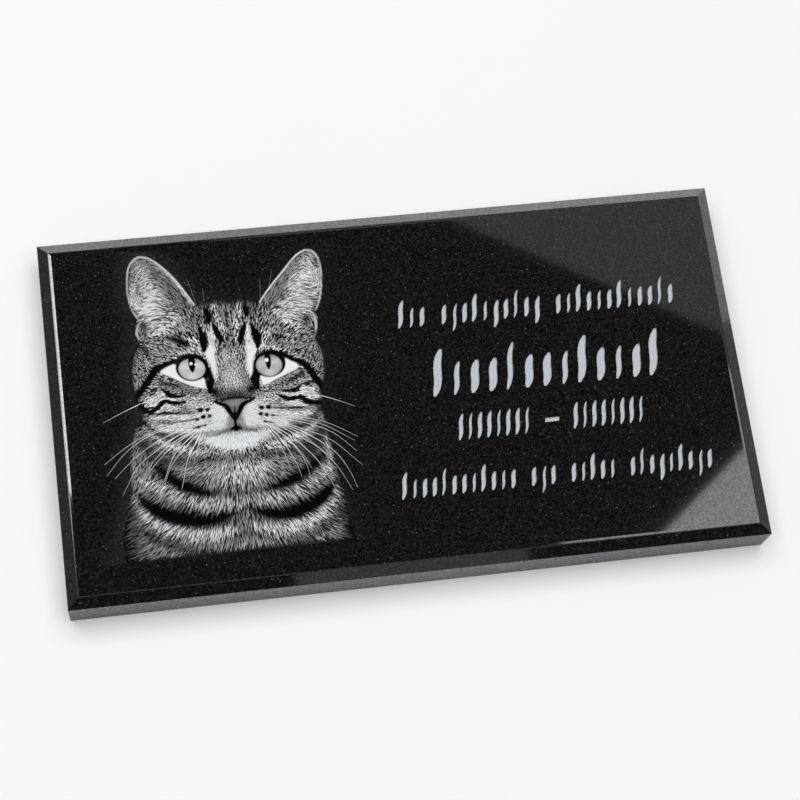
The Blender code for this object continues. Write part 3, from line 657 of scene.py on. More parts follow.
# height, step up, share of the length, shift, strokes in each word; 0 strokes is a dash
ROWS = (
    (0.0110, 0.0, 1.00, 0.0, (12, 3, 5, 9)),
    (0.0110, 0.0220, 0.607, 0.0007, (8, 0, 8)),
    (0.0200, 0.0193, 0.755, 0.0022, (13,)),
    (0.0119, 0.0305, 0.911, 0.0022, (3, 10, 12)),
)
NUMERAL_ROW = 1


def stroke_sides(foot_x, foot_y, height, stem, inset):
    """Left and right side of a slanted stroke, drawn in by an inset."""
    left = []
    right = []
    for share in np.linspace(0, 1, SWELL_STATIONS):
        half = max(np.interp(share, *zip(*SWELL)) * stem / 2 - inset, 0.1 * stem)
        rise = inset + share * (height - 2 * inset)
        lean = rise * SLANT + CURL * height * math.sin(2 * math.pi * share)
        left.append((foot_x + lean - half, foot_y + rise))
        right.append((foot_x + lean + half, foot_y + rise))
    return left, right


def dash_sides(middle_x, foot_y, length, height, inset):
    """Left and right side of the short level stroke."""
    low = foot_y + 0.36 * height + inset
    high = foot_y + 0.52 * height - inset
    lean = (high - low) * SLANT
    left = middle_x - length / 2 + inset
    right = middle_x + length / 2 - inset
    return [(left, low), (left + lean, high)], [(right, low), (right + lean, high)]


def row_strokes(row, baseline, numerals, inset):
    """The sides of every stroke of one row."""
    height, step, share, shift, words = row
    pitches = sum(max(count, 2) for count in words) + 1.1 * (len(words) - 1)
    pitch = share * ROWS_LENGTH / pitches
    x = (ROWS_LEFT + ROWS_RIGHT) / 2 + shift - share * ROWS_LENGTH / 2
    found = []
    for word, count in enumerate(words):
        if count == 0:
            found.append(dash_sides(x + pitch, baseline, 1.5 * pitch, height, inset))
        for index in range(count):
            tall = numerals or (index + word) % 4 == 0
            tail = not tall and (index + word) % 4 == 2 and index % 2 == 1
            drop = height * 0.28 if tail else 0.0
            reach = height * (1.0 if tall else 0.70) + drop
            stem = pitch * (0.46 if index % 3 != 1 else 0.30)
            foot_x = x + (index + 0.5) * pitch - reach / 2 * SLANT
            found.append(stroke_sides(foot_x, baseline - drop, reach, stem, inset))
        x += (max(count, 2) + 1.1) * pitch
    return found


def all_strokes(inset):
    """The sides of every stroke, from the lowest row up."""
    baseline = LOWEST_BASELINE
    found = []
    for number, row in enumerate(ROWS):
        baseline += row[1]
        found += row_strokes(row, baseline, number == NUMERAL_ROW, inset)
    return found


FLOOR_INSET = 0.00016
stroke_tops = all_strokes(0.0)
stroke_floors = all_strokes(FLOOR_INSET)
print(len(stroke_tops), "strokes over", round(1000 * ROWS_LENGTH, 1), "mm")

# %% [markdown]
# ## The stone's mesh
#
# The slab could be a box with cutters taken out of it, but the portrait's sheet would make that
# slow and messy. Instead one mesh is laid out: the portrait sheet, a flat face round it
# that a constrained triangulation fits to the sheet's border and to the strokes, the strokes'
# walls and floors, and rings for the arris, the bevels, the sides and the foot.

# %% Points and faces of the stone
points = []
faces = []
finish_of = []
POLISHED, HONED, FROSTED, ARRIS_STRIP = range(4)


def add_points(places):
    """Add points and return their numbers."""
    start = len(points)
    points.extend(places)
    return list(range(start, len(points)))


def add_face(corners, finish):
    """Add one face with the number of its finish."""
    faces.append(tuple(corners))
    finish_of.append(finish)


def ring_edges(ring):
    """The edges of a closed ring."""
    return list(zip(ring, ring[1:] + ring[:1]))


sheet_x = NOSE_LINE_X + U_LINES * MM
sheet_y = PORTRAIT_FOOT_Y + V_LINES * MM
for y, level in zip(sheet_y, (TOP - recess * MM).tolist()):
    add_points([(x, y, z) for x, z in zip(sheet_x.tolist(), level)])
numbers = np.arange(SHEET[0] * SHEET[1]).reshape(SHEET)
quads = np.stack([numbers[:-1, :-1], numbers[:-1, 1:], numbers[1:, 1:], numbers[1:, :-1]], -1)
for quad in quads.reshape(-1, 4).tolist():
    add_face(quad, POLISHED)
sheet_faces = len(faces)
sheet_border = [*numbers[0, :-1], *numbers[:-1, -1], *numbers[-1, :0:-1], *numbers[:0:-1, 0]]

top_rings = []
for (left, right), (floor_left, floor_right) in zip(stroke_tops, stroke_floors):
    ring = add_points([(x, y, TOP) for x, y in left + right[::-1]])
    floor = add_points([(x, y, TOP - STROKE_DEPTH) for x, y in floor_left + floor_right[::-1]])
    for (a, b), (c, d) in zip(ring_edges(ring), ring_edges(floor)):
        add_face((a, c, d, b), FROSTED)
    for a in range(len(ring) // 2 - 1):
        add_face((floor[a], floor[-1 - a], floor[-2 - a], floor[a + 1]), FROSTED)
    top_rings.append(ring)

# %% Rings from the face down to the foot
rings = []
for inset, height in ((BEVEL_RUN + ARRIS_RUN, TOP), (BEVEL_RUN + ARRIS_STRIP_RUN, TOP - 0.35 * ARRIS_RISE),
                      (BEVEL_RUN, TOP - ARRIS_RISE), (0.0, TOP - ARRIS_RISE - BEVEL_RISE),
                      (0.0, FOOT_CHAMFER), (FOOT_CHAMFER, 0.0)):
    x = HALF_LENGTH - inset
    y = HALF_WIDTH - inset
    rings.append(add_points([(-x, -y, height), (x, -y, height), (x, y, height), (-x, y, height)]))
for upper, lower, finish in zip(rings, rings[1:], (POLISHED, ARRIS_STRIP, POLISHED, HONED, HONED)):
    for (a, b), (c, d) in zip(ring_edges(upper), ring_edges(lower)):
        add_face((c, d, b, a), finish)
add_face(rings[-1][::-1], HONED)

# %% The flat face between the sheet, the strokes and the arris
flat_rings = [rings[0], [int(number) for number in sheet_border]] + top_rings
flat_numbers = [number for ring in flat_rings for number in ring]
place_of = {number: place for place, number in enumerate(flat_numbers)}
flat_places = [Vector((points[number][0] / MM, points[number][1] / MM)) for number in flat_numbers]
flat_edges = [(place_of[a], place_of[b]) for ring in flat_rings for a, b in ring_edges(ring)]
out = delaunay_2d_cdt(flat_places, flat_edges, [], 0, 1e-6)
triangles = np.array([face[:] for face in out[2]])
x, y = np.array([place[:] for place in out[0]])[triangles].mean(1).T * MM
flat = (x < sheet_x[0]) | (x > sheet_x[-1]) | (y < sheet_y[0]) | (y > sheet_y[-1])
for left, right in stroke_tops:
    flat &= loop_depth(x, y, np.array(left + right[::-1])) < 0
for triangle in triangles[flat].tolist():
    add_face([flat_numbers[out[3][corner][0]] for corner in triangle], POLISHED)
print("flat face", int(flat.sum()), "triangles,", len(out[0]) - len(flat_places), "points added")


def new_mesh(name, places, edges=(), corners=()):
    """A mesh from its points, edges and faces."""
    made = bpy.data.meshes.new(name)
    made.from_pydata(places, edges, corners)
    return made


def put_in_scene(name, data):
    """A new object at the origin."""
    made = bpy.data.objects.new(name, data)
    bpy.context.scene.collection.objects.link(made)
    return made


stone_mesh = new_mesh("granite_slab", points, [], faces)
stone_mesh.polygons.foreach_set("material_index", finish_of)
stone_mesh.polygons.foreach_set("use_smooth", np.arange(len(faces)) < sheet_faces)
stone = put_in_scene("granite_slab", stone_mesh)
print("stone", len(points), "points,", sum(len(face) - 2 for face in faces), "triangles")

# %% [markdown]
# The etched lightness goes on the mesh as an attribute, one value per point, and the finish reads
# it there. Eyes see lightness on a curve, and a surface reflects in plain proportion, so the value
# is raised to the power 2.2 first. Where fur will lie, the stone between the hairs is darker and
# gritty. A value a little below zero tells the finish to leave a marking pure black.

# %% Lightness as an attribute
LIGHTEST = 0.80


def whiteness(lightness):
    """How much of a place is frosted white, for a lightness as the eye sees it."""
    return np.clip(lightness, 0, 1) ** 2.2 / LIGHTEST


def give_values(mesh, **fields):
    """Store a number for each point under each name."""
    for label, values in fields.items():
        made = mesh.attributes.new(label, 'FLOAT', 'POINT')
        made.data.foreach_set("value", np.asarray(values, np.float32))


rough = (1 - ease((tone - 0.62) / 0.30)) * (1 - bare) * (1 - white_share)
rough *= np.maximum(head_share, chest_share) * (1 - 0.15 * (1 - head_share))
rough *= 1 - 0.4 * ease(0.5 + ear_depth / 2)
for oval in ((-26, 97, 8, 3), (28, 96, 7, 3), (1.2, 73, 5, 8)):
    lay_oval(rough, 0.45, 4.0, oval)
lay_oval(rough, 0.16, 6.0, (0.6, 52.5, 30, 8.5))
grit = np.random.default_rng(5).uniform(-1, 1, SHEET)
under = whiteness(tone * (1 - 0.78 * rough)) * (1 + 0.4 * rough * grit)
under *= 1 + 0.06 * (1 - rough) * grit
under -= 0.05 * ease((0.12 - tone) / 0.06) * ease(0.5 + figure_depth)
etch = np.zeros(len(points))
etch[:tone.size] = under.ravel()
give_values(stone_mesh, etch=etch)

# %% [markdown]
# ## A map for the finished stone
#
# A game engine or a viewer needs the finish as pictures, so the stone is unfolded: the top
# lies flat over half of the map, the four sides are strips above it, and the underside is small.

# %% Unfold the stone
MAP_SCALE = 3.5
MARGIN = 0.01
STEEP = 0.6


def corner_places(mesh):
    """The x, y and z of every face corner."""
    corner = np.zeros(len(mesh.loops), np.int32)
    mesh.loops.foreach_get("vertex_index", corner)
    places = np.zeros(3 * len(mesh.vertices))
    mesh.vertices.foreach_get("co", places)
    return places.reshape(-1, 3)[corner].T


def set_map(mesh, u, v):
    """Give every face corner its place on the map."""
    for layer in list(mesh.uv_layers):
        mesh.uv_layers.remove(layer)
    layer = mesh.uv_layers.new(name="OFBake")
    layer.data.foreach_set("uv", np.stack([u, v], -1).ravel())


def unfold(mesh):
    """Lay each face on the map by the way it looks."""
    x, y, z = corner_places(mesh)
    normals = np.zeros(3 * len(mesh.polygons))
    mesh.polygons.foreach_get("normal", normals)
    sizes = np.zeros(len(mesh.polygons), np.int32)
    mesh.polygons.foreach_get("loop_total", sizes)
    nx, ny, nz = np.repeat(normals.reshape(-1, 3), sizes, axis=0).T
    long_way = (x + HALF_LENGTH) * MAP_SCALE + MARGIN
    short_way = (y + HALF_WIDTH) * MAP_SCALE + MARGIN
    u = long_way.copy()
    v = short_way.copy()
    side = np.abs(nz) < STEEP
    for facing, along, start in ((ny < -STEEP, long_way, 0.56), (ny > STEEP, long_way, 0.64),
                                 (nx < -STEEP, short_way, 0.72), (nx > STEEP, short_way, 0.80)):
        chosen = side & facing
        u[chosen] = along[chosen]
        v[chosen] = start + z[chosen] * MAP_SCALE
    below = nz < -STEEP
    u[below] = 0.60 + 0.35 * (long_way[below] - MARGIN)
    v[below] = 0.73 + 0.35 * (short_way[below] - MARGIN)
    set_map(mesh, u, v)


unfold(stone_mesh)

# %% [markdown]
# ## Small tools for node trees
#
# Materials and Geometry Nodes are both trees of nodes. Two helpers keep the rest readable: one
# adds a node with its settings, the other joins an output to an input.

# %% Node helpers
def feed(tree, node, inputs):
    """Give a node's inputs their values, or the outputs that drive them."""
    for name, value in inputs.items():
        if isinstance(value, bpy.types.NodeSocket):
            tree.links.new(value, node.inputs[name])
        else:
            node.inputs[name].default_value = value


def add_node(tree, kind, inputs=None, **settings):
    """Add a node with its settings, and feed its inputs."""
    made = tree.nodes.new(kind)
    for name, value in settings.items():
        setattr(made, name, value)
    feed(tree, made, inputs or {})
    return made


def new_group(name, kind, inputs, out_kind, *out_labels):
    """A node group with named sockets: its tree, what comes in, and its output node."""
    tree = bpy.data.node_groups.new(name, kind)
    for label, socket, default in inputs:
        made = tree.interface.new_socket(label, in_out='INPUT', socket_type="NodeSocket" + socket)
        if default is not None:
            made.default_value = default
    for label in out_labels:
        tree.interface.new_socket(label, in_out='OUTPUT', socket_type="NodeSocket" + out_kind)
    return tree, tree.nodes.new("NodeGroupInput").outputs, tree.nodes.new("NodeGroupOutput")


def arithmetic(tree, operation, *values):
    """A math node's result."""
    return add_node(tree, "ShaderNodeMath", dict(enumerate(values)), operation=operation).outputs[0]


def remap(tree, value, low, high, new_low=0.0, new_high=1.0):
    """A value moved from one range to another, held inside it."""
    limits = {0: value, 1: low, 2: high, 3: new_low, 4: new_high}
    return add_node(tree, "ShaderNodeMapRange", limits).outputs[0]


def blend_colours(tree, share, first, second):
    """A mix of two colours."""
    return add_node(tree, "ShaderNodeMix", {0: share, 6: first, 7: second}, data_type='RGBA').outputs[2]


def noise(tree, place, scale, detail=2.0, roughness=0.5):
    """Soft clouds of a given fineness."""
    wanted = {"Vector": place, "Scale": scale, "Detail": detail, "Roughness": roughness}
    return add_node(tree, "ShaderNodeTexNoise", wanted).outputs[0]


def grey(value, warmth=0.0):
    """A grey, a little warm or cool."""
    return (value * (1 + warmth), value, value * (1 - warmth), 1.0)


# %% [markdown]
# ## The grain of black granite
#
# Black granite isn't one black. Crystals of a millimetre or so differ a little, a few are plainly
# lighter, and a very few glint. All three come from cells: each cell of a Voronoi pattern gets one
# random colour, and thresholds on it choose the lighter crystals. Polished and honed stone share
# this group and only differ in how light they set it.

# %% Node group: granite grain
grain, given, handed = new_group(
    "granite_grain", 'ShaderNodeTree', [("Vector", 'Vector', None), ("Cells per Metre", 'Float', 1900.0)],
    'Float', "Lighter", "Speck", "Mottle", "Tint")
cells = add_node(grain, "ShaderNodeTexVoronoi",
                 {"Vector": given["Vector"], "Scale": given["Cells per Metre"]})
chances = add_node(grain, "ShaderNodeSeparateColor", {0: cells.outputs["Color"]}).outputs
middle = remap(grain, cells.outputs["Distance"], 0.3, 0.6, 1.0, 0.0)
rare = remap(grain, chances[1], 0.985, 0.998)
feed(grain, handed, {
    "Lighter": remap(grain, chances[0], 0.55, 1.0),
    "Speck": arithmetic(grain, 'MULTIPLY', rare, middle),
    "Mottle": noise(grain, given["Vector"], 1000.0),
    "Tint": chances[2]})

# %% [markdown]
# ## Frost
#
# Etched and blasted stone is a field of tiny pits that scatter light, so it looks like frost. The
# group turns a wanted whiteness into an uneven one, with pits of a quarter of a millimetre, and
# gives the same pattern as a height for the bump.

# %% Node group: frost
frost, given, handed = new_group(
    "stone_frost", 'ShaderNodeTree',
    [("Vector", 'Vector', None), ("Whiteness", 'Float', 0.5), ("Unevenness", 'Float', 0.3)],
    'Float', "Share", "Height")
pits = noise(frost, given["Vector"], 3200.0, roughness=0.6)
swing = arithmetic(frost, 'MULTIPLY', arithmetic(frost, 'SUBTRACT', pits, 0.5), given["Unevenness"])
factor = arithmetic(frost, 'MULTIPLY_ADD', swing, 4.0, 1.0)
share = arithmetic(frost, 'MULTIPLY', given["Whiteness"], factor)
share.node.use_clamp = True
feed(frost, handed, {"Share": share, "Height": pits})


# %% Start of every finish
def new_finish(name):
    """A material with its tree, its surface shader and its object coordinates."""
    material = bpy.data.materials.new(name)
    material.use_nodes = True
    tree = material.node_tree
    place = add_node(tree, "ShaderNodeTexCoord").outputs["Object"]
    return material, tree, tree.nodes["Principled BSDF"], place


def place_group(tree, group, **inputs):
    """Place a shader node group in a material, and give what comes out of it."""
    return add_node(tree, "ShaderNodeGroup", inputs, node_tree=group).outputs


def granite_colour(tree, place, dark, light, speck_value, warmth=0.1):
    """The colour of granite at each place, from the shared grain."""
    seen = place_group(tree, grain, Vector=place)
    clouds = remap(tree, seen["Mottle"], 0.4, 0.6)
    base = blend_colours(tree, clouds, grey(dark), grey(0.75 * dark + 0.25 * light, warmth))
    base = blend_colours(tree, seen["Lighter"], base, grey(light, warmth))
    tint = blend_colours(tree, seen["Tint"], grey(speck_value, 0.2), grey(speck_value, -0.15))
    return blend_colours(tree, seen["Speck"], base, tint)


def bump(tree, height, distance, strength):
    """Small relief from a height."""
    wanted = {"Height": height, "Distance": distance, "Strength": strength}
    return add_node(tree, "ShaderNodeBump", wanted).outputs[0]


# %% Polished face with the etching
polished, tree, shader, place = new_finish("polished_black_granite")
etched = add_node(tree, "ShaderNodeAttribute", attribute_name="etch").outputs["Fac"]
share = place_group(tree, frost, Vector=place, Whiteness=etched, Unevenness=0.22)["Share"]
stone_colour = granite_colour(tree, place, 0.0005, 0.018, 0.13, 0.04)
blackened = remap(tree, etched, -0.05, 0.0, 1.0, 0.0)
stone_colour = blend_colours(tree, blackened, stone_colour, grey(0.0002))
crystals = place_group(tree, grain, Vector=place)["Tint"]
glint = arithmetic(tree, 'MULTIPLY', crystals, remap(tree, share, 0.0, 0.3, 1.0, 0.0))
feed(tree, shader, {
    "Base Color": blend_colours(tree, share, stone_colour, grey(LIGHTEST, -0.02)),
    "Roughness": remap(tree, share, 0.0, 0.7, 0.045, 0.62),
    "IOR": 1.5,
    "Coat Weight": arithmetic(tree, 'MULTIPLY', glint, 0.8)})

# %% Honed sides and sawn underside
honed, tree, shader, place = new_finish("honed_black_granite")
side_colour = granite_colour(tree, place, 0.075, 0.33, 0.4, -0.03)
level = add_node(tree, "ShaderNodeSeparateXYZ", {0: place}).outputs["Z"]
# Painted shade: the honed sides are darkened towards the foot, standing in for the shadow near the floor.
painted_foot_shade = remap(tree, level, 0.0, 0.018, 0.45, 0.0)
rub = noise(tree, place, 2400.0)
feed(tree, shader, {
    "Base Color": blend_colours(tree, painted_foot_shade, side_colour, grey(0.04)),
    "Roughness": remap(tree, rub, 0.3, 0.7, 0.5, 0.72),
    "Normal": bump(tree, rub, 0.0001, 0.35)})

# %% Frosted strokes
frosted, tree, shader, place = new_finish("frosted_cut")
cut = place_group(tree, frost, Vector=place, Whiteness=0.62, Unevenness=0.36)
feed(tree, shader, {
    "Base Color": blend_colours(tree, cut["Share"], grey(0.02), grey(LIGHTEST, -0.05)),
    "Roughness": 0.7,
    "Normal": bump(tree, cut["Height"], 0.00012, 0.5)})

# %% Arris strip, with a painted highlight
arris_strip_finish, tree, shader, place = new_finish("arris_strip_painted_highlight")
# Painted highlight: the strip between the arris and the bevel is lifted towards grey in a noisy pattern,
# standing in for the bright line its reflection draws; the same pattern sets its roughness.
painted_arris_highlight = remap(tree, noise(tree, place, 900.0, 4.0), 0.35, 0.75, 0.03, 0.07)
arris_colour = granite_colour(tree, place, 0.002, 0.016, 0.10)
feed(tree, shader, {
    "Base Color": blend_colours(tree, painted_arris_highlight, arris_colour, grey(0.5)),
    "Roughness": remap(tree, painted_arris_highlight, 0.0, 0.25, 0.10, 0.35)})

for finish in (polished, honed, frosted, arris_strip_finish):
    stone_mesh.materials.append(finish)
print("finishes", [finish.name for finish in stone_mesh.materials])

# %% [markdown]
# ## Fur
#
# On the stone every hair is one short flick of the point. There are tens of thousands, they all
# look alike, and they follow the way the coat lies, which is just what Geometry Nodes are for: a
# cloud of points carries each hair's direction, length, width and lightness, and a small tree puts
# one sliver on each. The direction at any place comes from a few guides, the nearer the stronger.

# %% Which way the coat lies: u, v, direction in degrees, length in millimetres
COAT_GUIDES = (
    (1.5, 66, 90, 0.7), (1.5, 72, 90, 0.8), (1.5, 80, 90, 0.9), (1.5, 90, 90, 1.3), (1.5, 100, 90, 2),
    (-6, 84, 98, 1.5), (-6, 93, 95, 1.7), (-8, 101, 105, 2.2), (9, 84, 80, 1.5), (9.5, 93, 84, 1.7),
    (11, 101, 74, 2.2), (-13, 87, 118, 1.7), (-16, 95, 115, 2), (-14, 101, 112, 2.2), (17, 87, 62, 1.7),
    (19, 95, 62, 2), (16, 100, 66, 2.2), (-21, 86, 140, 1.6), (-24, 92, 135, 1.8), (26, 85, 38, 1.6),
    (27, 90, 42, 1.8), (-29, 84, 160, 1.5), (-30, 90, 150, 1.7), (33, 83, 15, 1.5), (33, 88, 25, 1.7),
    (-36, 76, 105, 1.4), (-34, 82, 120, 1.4), (36, 76, 75, 1.4), (36, 82, 60, 1.4), (-26, 69, 190, 1.2),
    (-18, 66, 190, 0.9), (-31, 65, 200, 1.7), (-24, 60, 188, 1.6), (-31, 56, 202, 1.7),
    (-20, 55, 190, 1.4), (-13, 61, 200, 0.9), (-7, 57, 215, 1), (-10, 52, 205, 1.3),
    (-27, 49, 215, 2.1), (-18, 45, 232, 2.2), (-33, 52, 215, 1.9), (28, 69, -8, 1.2), (20, 65, -10, 0.9),
    (32, 62, -20, 1.7), (26, 59, -8, 1.6), (32, 56, -20, 1.7), (21, 55, -8, 1.4), (14, 60, -20, 0.9),
    (8, 57, -35, 1), (11, 52, -25, 1.3), (28, 48, -35, 2.1), (19, 45, -52, 2.2), (33, 51, -38, 1.9),
    (0, 46, -90, 1.4), (-7, 45, 252, 1.5), (8, 45, -72, 1.5), (-13, 48, 235, 1.6), (13, 48, -55, 1.6),
    (-30, 120, 220, 2), (-27, 114, 208, 3), (-27, 108, 194, 3.6), (-27, 103, 183, 3.6),
    (-21, 113, 130, 2.4), (-21, 107, 152, 3), (-17, 107, 122, 2.4), (-19, 101, 166, 2.6),
    (-34, 110, 100, 1.6), (-26, 95, 205, 2.2), (-32, 94, 240, 1.7), (-24, 119, 140, 2),
    (36, 119, -40, 2), (34, 113, -25, 3), (33, 107, -14, 3.6), (32, 101.5, -14, 3.6),
    (26, 112, 50, 2.4), (25, 106, 32, 3), (21, 105, 58, 2.4), (24, 100, 16, 2.6), (40, 110, 80, 1.6),
    (27, 95, -25, 2.2), (34, 93, -60, 1.7), (31, 118, 42, 2), (0, 37, -90, 2.4), (-8, 35, 235, 2.6),
    (8, 35, -55, 2.6), (-17, 35, 204, 2.8), (17, 35, -24, 2.8), (0, 29, -90, 3), (-9, 28, 246, 3),
    (9, 28, -66, 3), (-20, 30, 219, 2.9), (19, 30, -39, 2.9), (-27, 37, 208, 2.5), (26, 37, -28, 2.5),
    (-36, 43, 245, 2.1), (34, 43, -62, 2.1), (-40, 34, 240, 2.2), (36, 33, -55, 2.2), (-35, 28, 214, 3.2),
    (33, 27, -34, 3.2), (-29, 23, 224, 3.3), (27, 23, -44, 3.3), (-20, 20, 236, 3.4), (20, 20, -56, 3.4),
    (-11, 18, 244, 3.4), (11, 18, -64, 3.4), (0, 18, -90, 3.4), (-38, 17, 216, 3.2), (36, 17, -36, 3.2),
    (-30, 11, 222, 3.2), (29, 12, -42, 3.2), (-20, 8, 240, 3.2), (20, 8, -58, 3.2), (-10, 8, 250, 3.2),
    (10, 8, -72, 3.2), (0, 8, -90, 3.2), (-46, 14, 206, 4.4), (-45, 5, 202, 4.6), (-38, 3, 212, 4),
    (-28, 2, 232, 3), (-15, 2, 250, 3), (0, 2, -90, 3), (15, 2, -70, 3), (28, 2, -52, 3),
    (38, 3, -28, 4.2), (38.5, 12, -24, 4),
)


def coat(u, v):
    """The direction and length of the coat at each place."""
    guide_u, guide_v, guide_turn, guide_length = np.array(COAT_GUIDES).T
    weight = 1 / ((u[:, None] - guide_u) ** 2 + (v[:, None] - guide_v) ** 2 + 0.5) ** 2
    weight /= weight.sum(1, keepdims=True)
    x = (weight * np.cos(np.radians(guide_turn))).sum(1)
    y = (weight * np.sin(np.radians(guide_turn))).sum(1)
    return np.arctan2(y, x), (weight * guide_length).sum(1)


# %% [markdown]
# Roots lie on two jittered grids, closer on the head, where hairs are short. How many stay depends
# on each hair's size, so the coat is equally dense everywhere. A hair is dark or light by its place
# in a row of even steps: chance alone would clump them.

# %% Roots, lengths and lightness of the hairs
HAIR_PITCH = 0.36
CHEST_PITCH = 0.42
CHEST_TOP = 42
COVERAGE = 1.9
SLIVER_FILL = 0.6
HAIR_REACH = 1.1
UNRULY_CHEST = 0.09
UNRULY_HEAD = 0.14
random = np.random.default_rng(11)
roots = []
for low, high, pitch in ((0, CHEST_TOP, CHEST_PITCH), (CHEST_TOP, 128.5, HAIR_PITCH)):
    column, row = np.meshgrid(np.arange(-52, 44, pitch), np.arange(low, high, pitch))
    steps = 0.7549 * np.arange(column.shape[1]) + 0.5698 * np.arange(column.shape[0])[:, None]
    column = column + random.uniform(-0.5, 0.5, column.shape) * pitch
    row = row + random.uniform(-0.5, 0.5, row.shape) * pitch
    roots.append(np.stack([column.ravel(), row.ravel(), steps.ravel() % 1, np.full(row.size, pitch)]))
u, v, order, spacing = np.hstack(roots)
turn, length = coat(u, v)
turn += random.normal(0, 1, u.size) * np.where(v < CHEST_TOP, UNRULY_CHEST, UNRULY_HEAD)
length *= random.uniform(0.7, 1.3, u.size) * HAIR_REACH
# four draws for each hair, the third one spare
stays, strays, spare, varies = random.uniform(size=(4, u.size))

cover = np.maximum(head_share, chest_share)
in_ear = ease(0.5 + read(ear_depth, u, v) / 2)
in_head = ease(0.5 + read(head_depth, u, v) / 1.0)
tip_u = u + np.cos(turn) * length
tip_v = v + np.sin(turn) * length
middle_u = (u + tip_u) / 2
middle_v = (v + tip_v) / 2
width = 0.25 + 0.04 * in_head + 0.11 * read(rough, u, v) * in_head * (1 - in_ear)
width += 0.06 * (varies - 0.5)
kept = stays < (COVERAGE - 0.3 * in_head) * spacing ** 2 / (SLIVER_FILL * length * width)
kept &= read(cover, u, v) > 0.32 + (0.90 - 0.45 * in_head) * strays
kept &= (read(cover, tip_u, tip_v) > 0.35) | (in_ear < 0.5)
kept &= (tip_v > 0.05) & (v > 0.05)
kept &= (read(bare, u, v) < 0.3) & (read(bare, middle_u, middle_v) < 0.3)
kept &= read(bare, tip_u, tip_v) < 0.5
kept &= read(white_share, u, v) < 0.5

toned_u = np.where(in_head > 0.5, middle_u, 0.8 * u + 0.2 * tip_u)
toned_v = np.where(in_head > 0.5, middle_v, 0.8 * v + 0.2 * tip_v)
around = read(tone, toned_u, toned_v)
kept &= around > 0.10
around = np.where((in_head < 0.5) & (read(cover, u, v) < 0.8), np.maximum(around, 0.24), around)
rough_coat = read(rough, toned_u, toned_v)
dark_hair = order < 0.10 + 0.30 * rough_coat
lightness = np.where(dark_hair, around * (0.92 - 0.66 * rough_coat),
                     np.minimum(around * (1.03 + 0.68 * rough_coat), 0.95))
lightness *= 0.90 + 0.20 * varies
print(int(kept.sum()), "hairs")

# %% [markdown]
# The sliver is a ball with three sides and two rings, stretched long and pressed flat: six
# triangles, closed, widest in the middle and pointed at both ends.

# %% Geometry Nodes: one sliver on every point
def stored(tree, name):
    """A number that each point carries."""
    made = add_node(tree, "GeometryNodeInputNamedAttribute", {"Name": name}, data_type='FLOAT')
    return made.outputs["Attribute"]


def end_tree(tree, given, handed, geometry):
    """Make instances real, give them their finish and hand them out."""
    real = add_node(tree, "GeometryNodeRealizeInstances", {0: geometry})
    wanted = {"Geometry": real.outputs[0], "Material": given["Finish"]}
    feed(tree, handed, {0: add_node(tree, "GeometryNodeSetMaterial", wanted).outputs[0]})


slivers, given, handed = new_group(
    "fur_slivers", 'GeometryNodeTree',
    [("Geometry", 'Geometry', None), ("Thickness", 'Float', 0.00005), ("Length Scale", 'Float', 1.0),
     ("Turn Jitter", 'Float', 0.05), ("Seed", 'Int', 7), ("Finish", 'Material', None)],
    'Geometry', "Geometry")
ball = add_node(slivers, "GeometryNodeMeshUVSphere", {"Segments": 3, "Rings": 2, "Radius": 0.5})
other_way = arithmetic(slivers, 'MULTIPLY', given["Turn Jitter"], -1.0)
jitter = add_node(slivers, "FunctionNodeRandomValue",
                  {2: other_way, 3: given["Turn Jitter"], "Seed": given["Seed"]}, data_type='FLOAT')
turned = arithmetic(slivers, 'ADD', stored(slivers, "turn"), jitter.outputs[1])
long = arithmetic(slivers, 'MULTIPLY', stored(slivers, "reach"), given["Length Scale"])
facing = add_node(slivers, "ShaderNodeCombineXYZ", {"Y": math.pi / 2, "Z": turned})
size = add_node(slivers, "ShaderNodeCombineXYZ",
                {"X": given["Thickness"], "Y": stored(slivers, "girth"), "Z": long})
cloud = add_node(slivers, "GeometryNodeMeshToPoints", {"Mesh": given["Geometry"]})
placed = add_node(slivers, "GeometryNodeInstanceOnPoints",
                  {"Points": cloud.outputs[0], "Instance": ball.outputs[0],
                   "Rotation": facing.outputs[0], "Scale": size.outputs[0]})
end_tree(slivers, given, handed, placed.outputs[0])


# %% Growing a piece from a tree
PICTURE_LEFT = -53 * MM
PICTURE_FOOT = -1 * MM
PICTURE_SIZE = 1.02 * 130 * MM


def on_stone(u, v, level):
    """Places in metres from places on the portrait and depths below the face."""
    return np.stack([NOSE_LINE_X + u * MM, PORTRAIT_FOOT_Y + v * MM, TOP - level * MM], -1)


def grown(name, start, tree, values):
    """Run a Geometry Nodes tree once on a starting mesh and keep the result as a plain mesh."""
    seedling = put_in_scene(name + "_start", start)
    modifier = seedling.modifiers.new("grow", 'NODES')
    modifier.node_group = tree
    for item in tree.interface.items_tree:
        if item.in_out == 'INPUT' and item.name in values:
            modifier[item.identifier] = values[item.name]
    bpy.context.view_layer.update()
    evaluated = seedling.evaluated_get(bpy.context.evaluated_depsgraph_get())
    mesh = bpy.data.meshes.new_from_object(evaluated)
    mesh.name = name
    bpy.data.objects.remove(seedling)
    x, y, z = corner_places(mesh)
    set_map(mesh, (x - NOSE_LINE_X - PICTURE_LEFT) / PICTURE_SIZE + MARGIN,
            (y - PORTRAIT_FOOT_Y - PICTURE_FOOT) / PICTURE_SIZE + MARGIN)
    print(name, len(mesh.polygons), "faces")
    return put_in_scene(name, mesh)


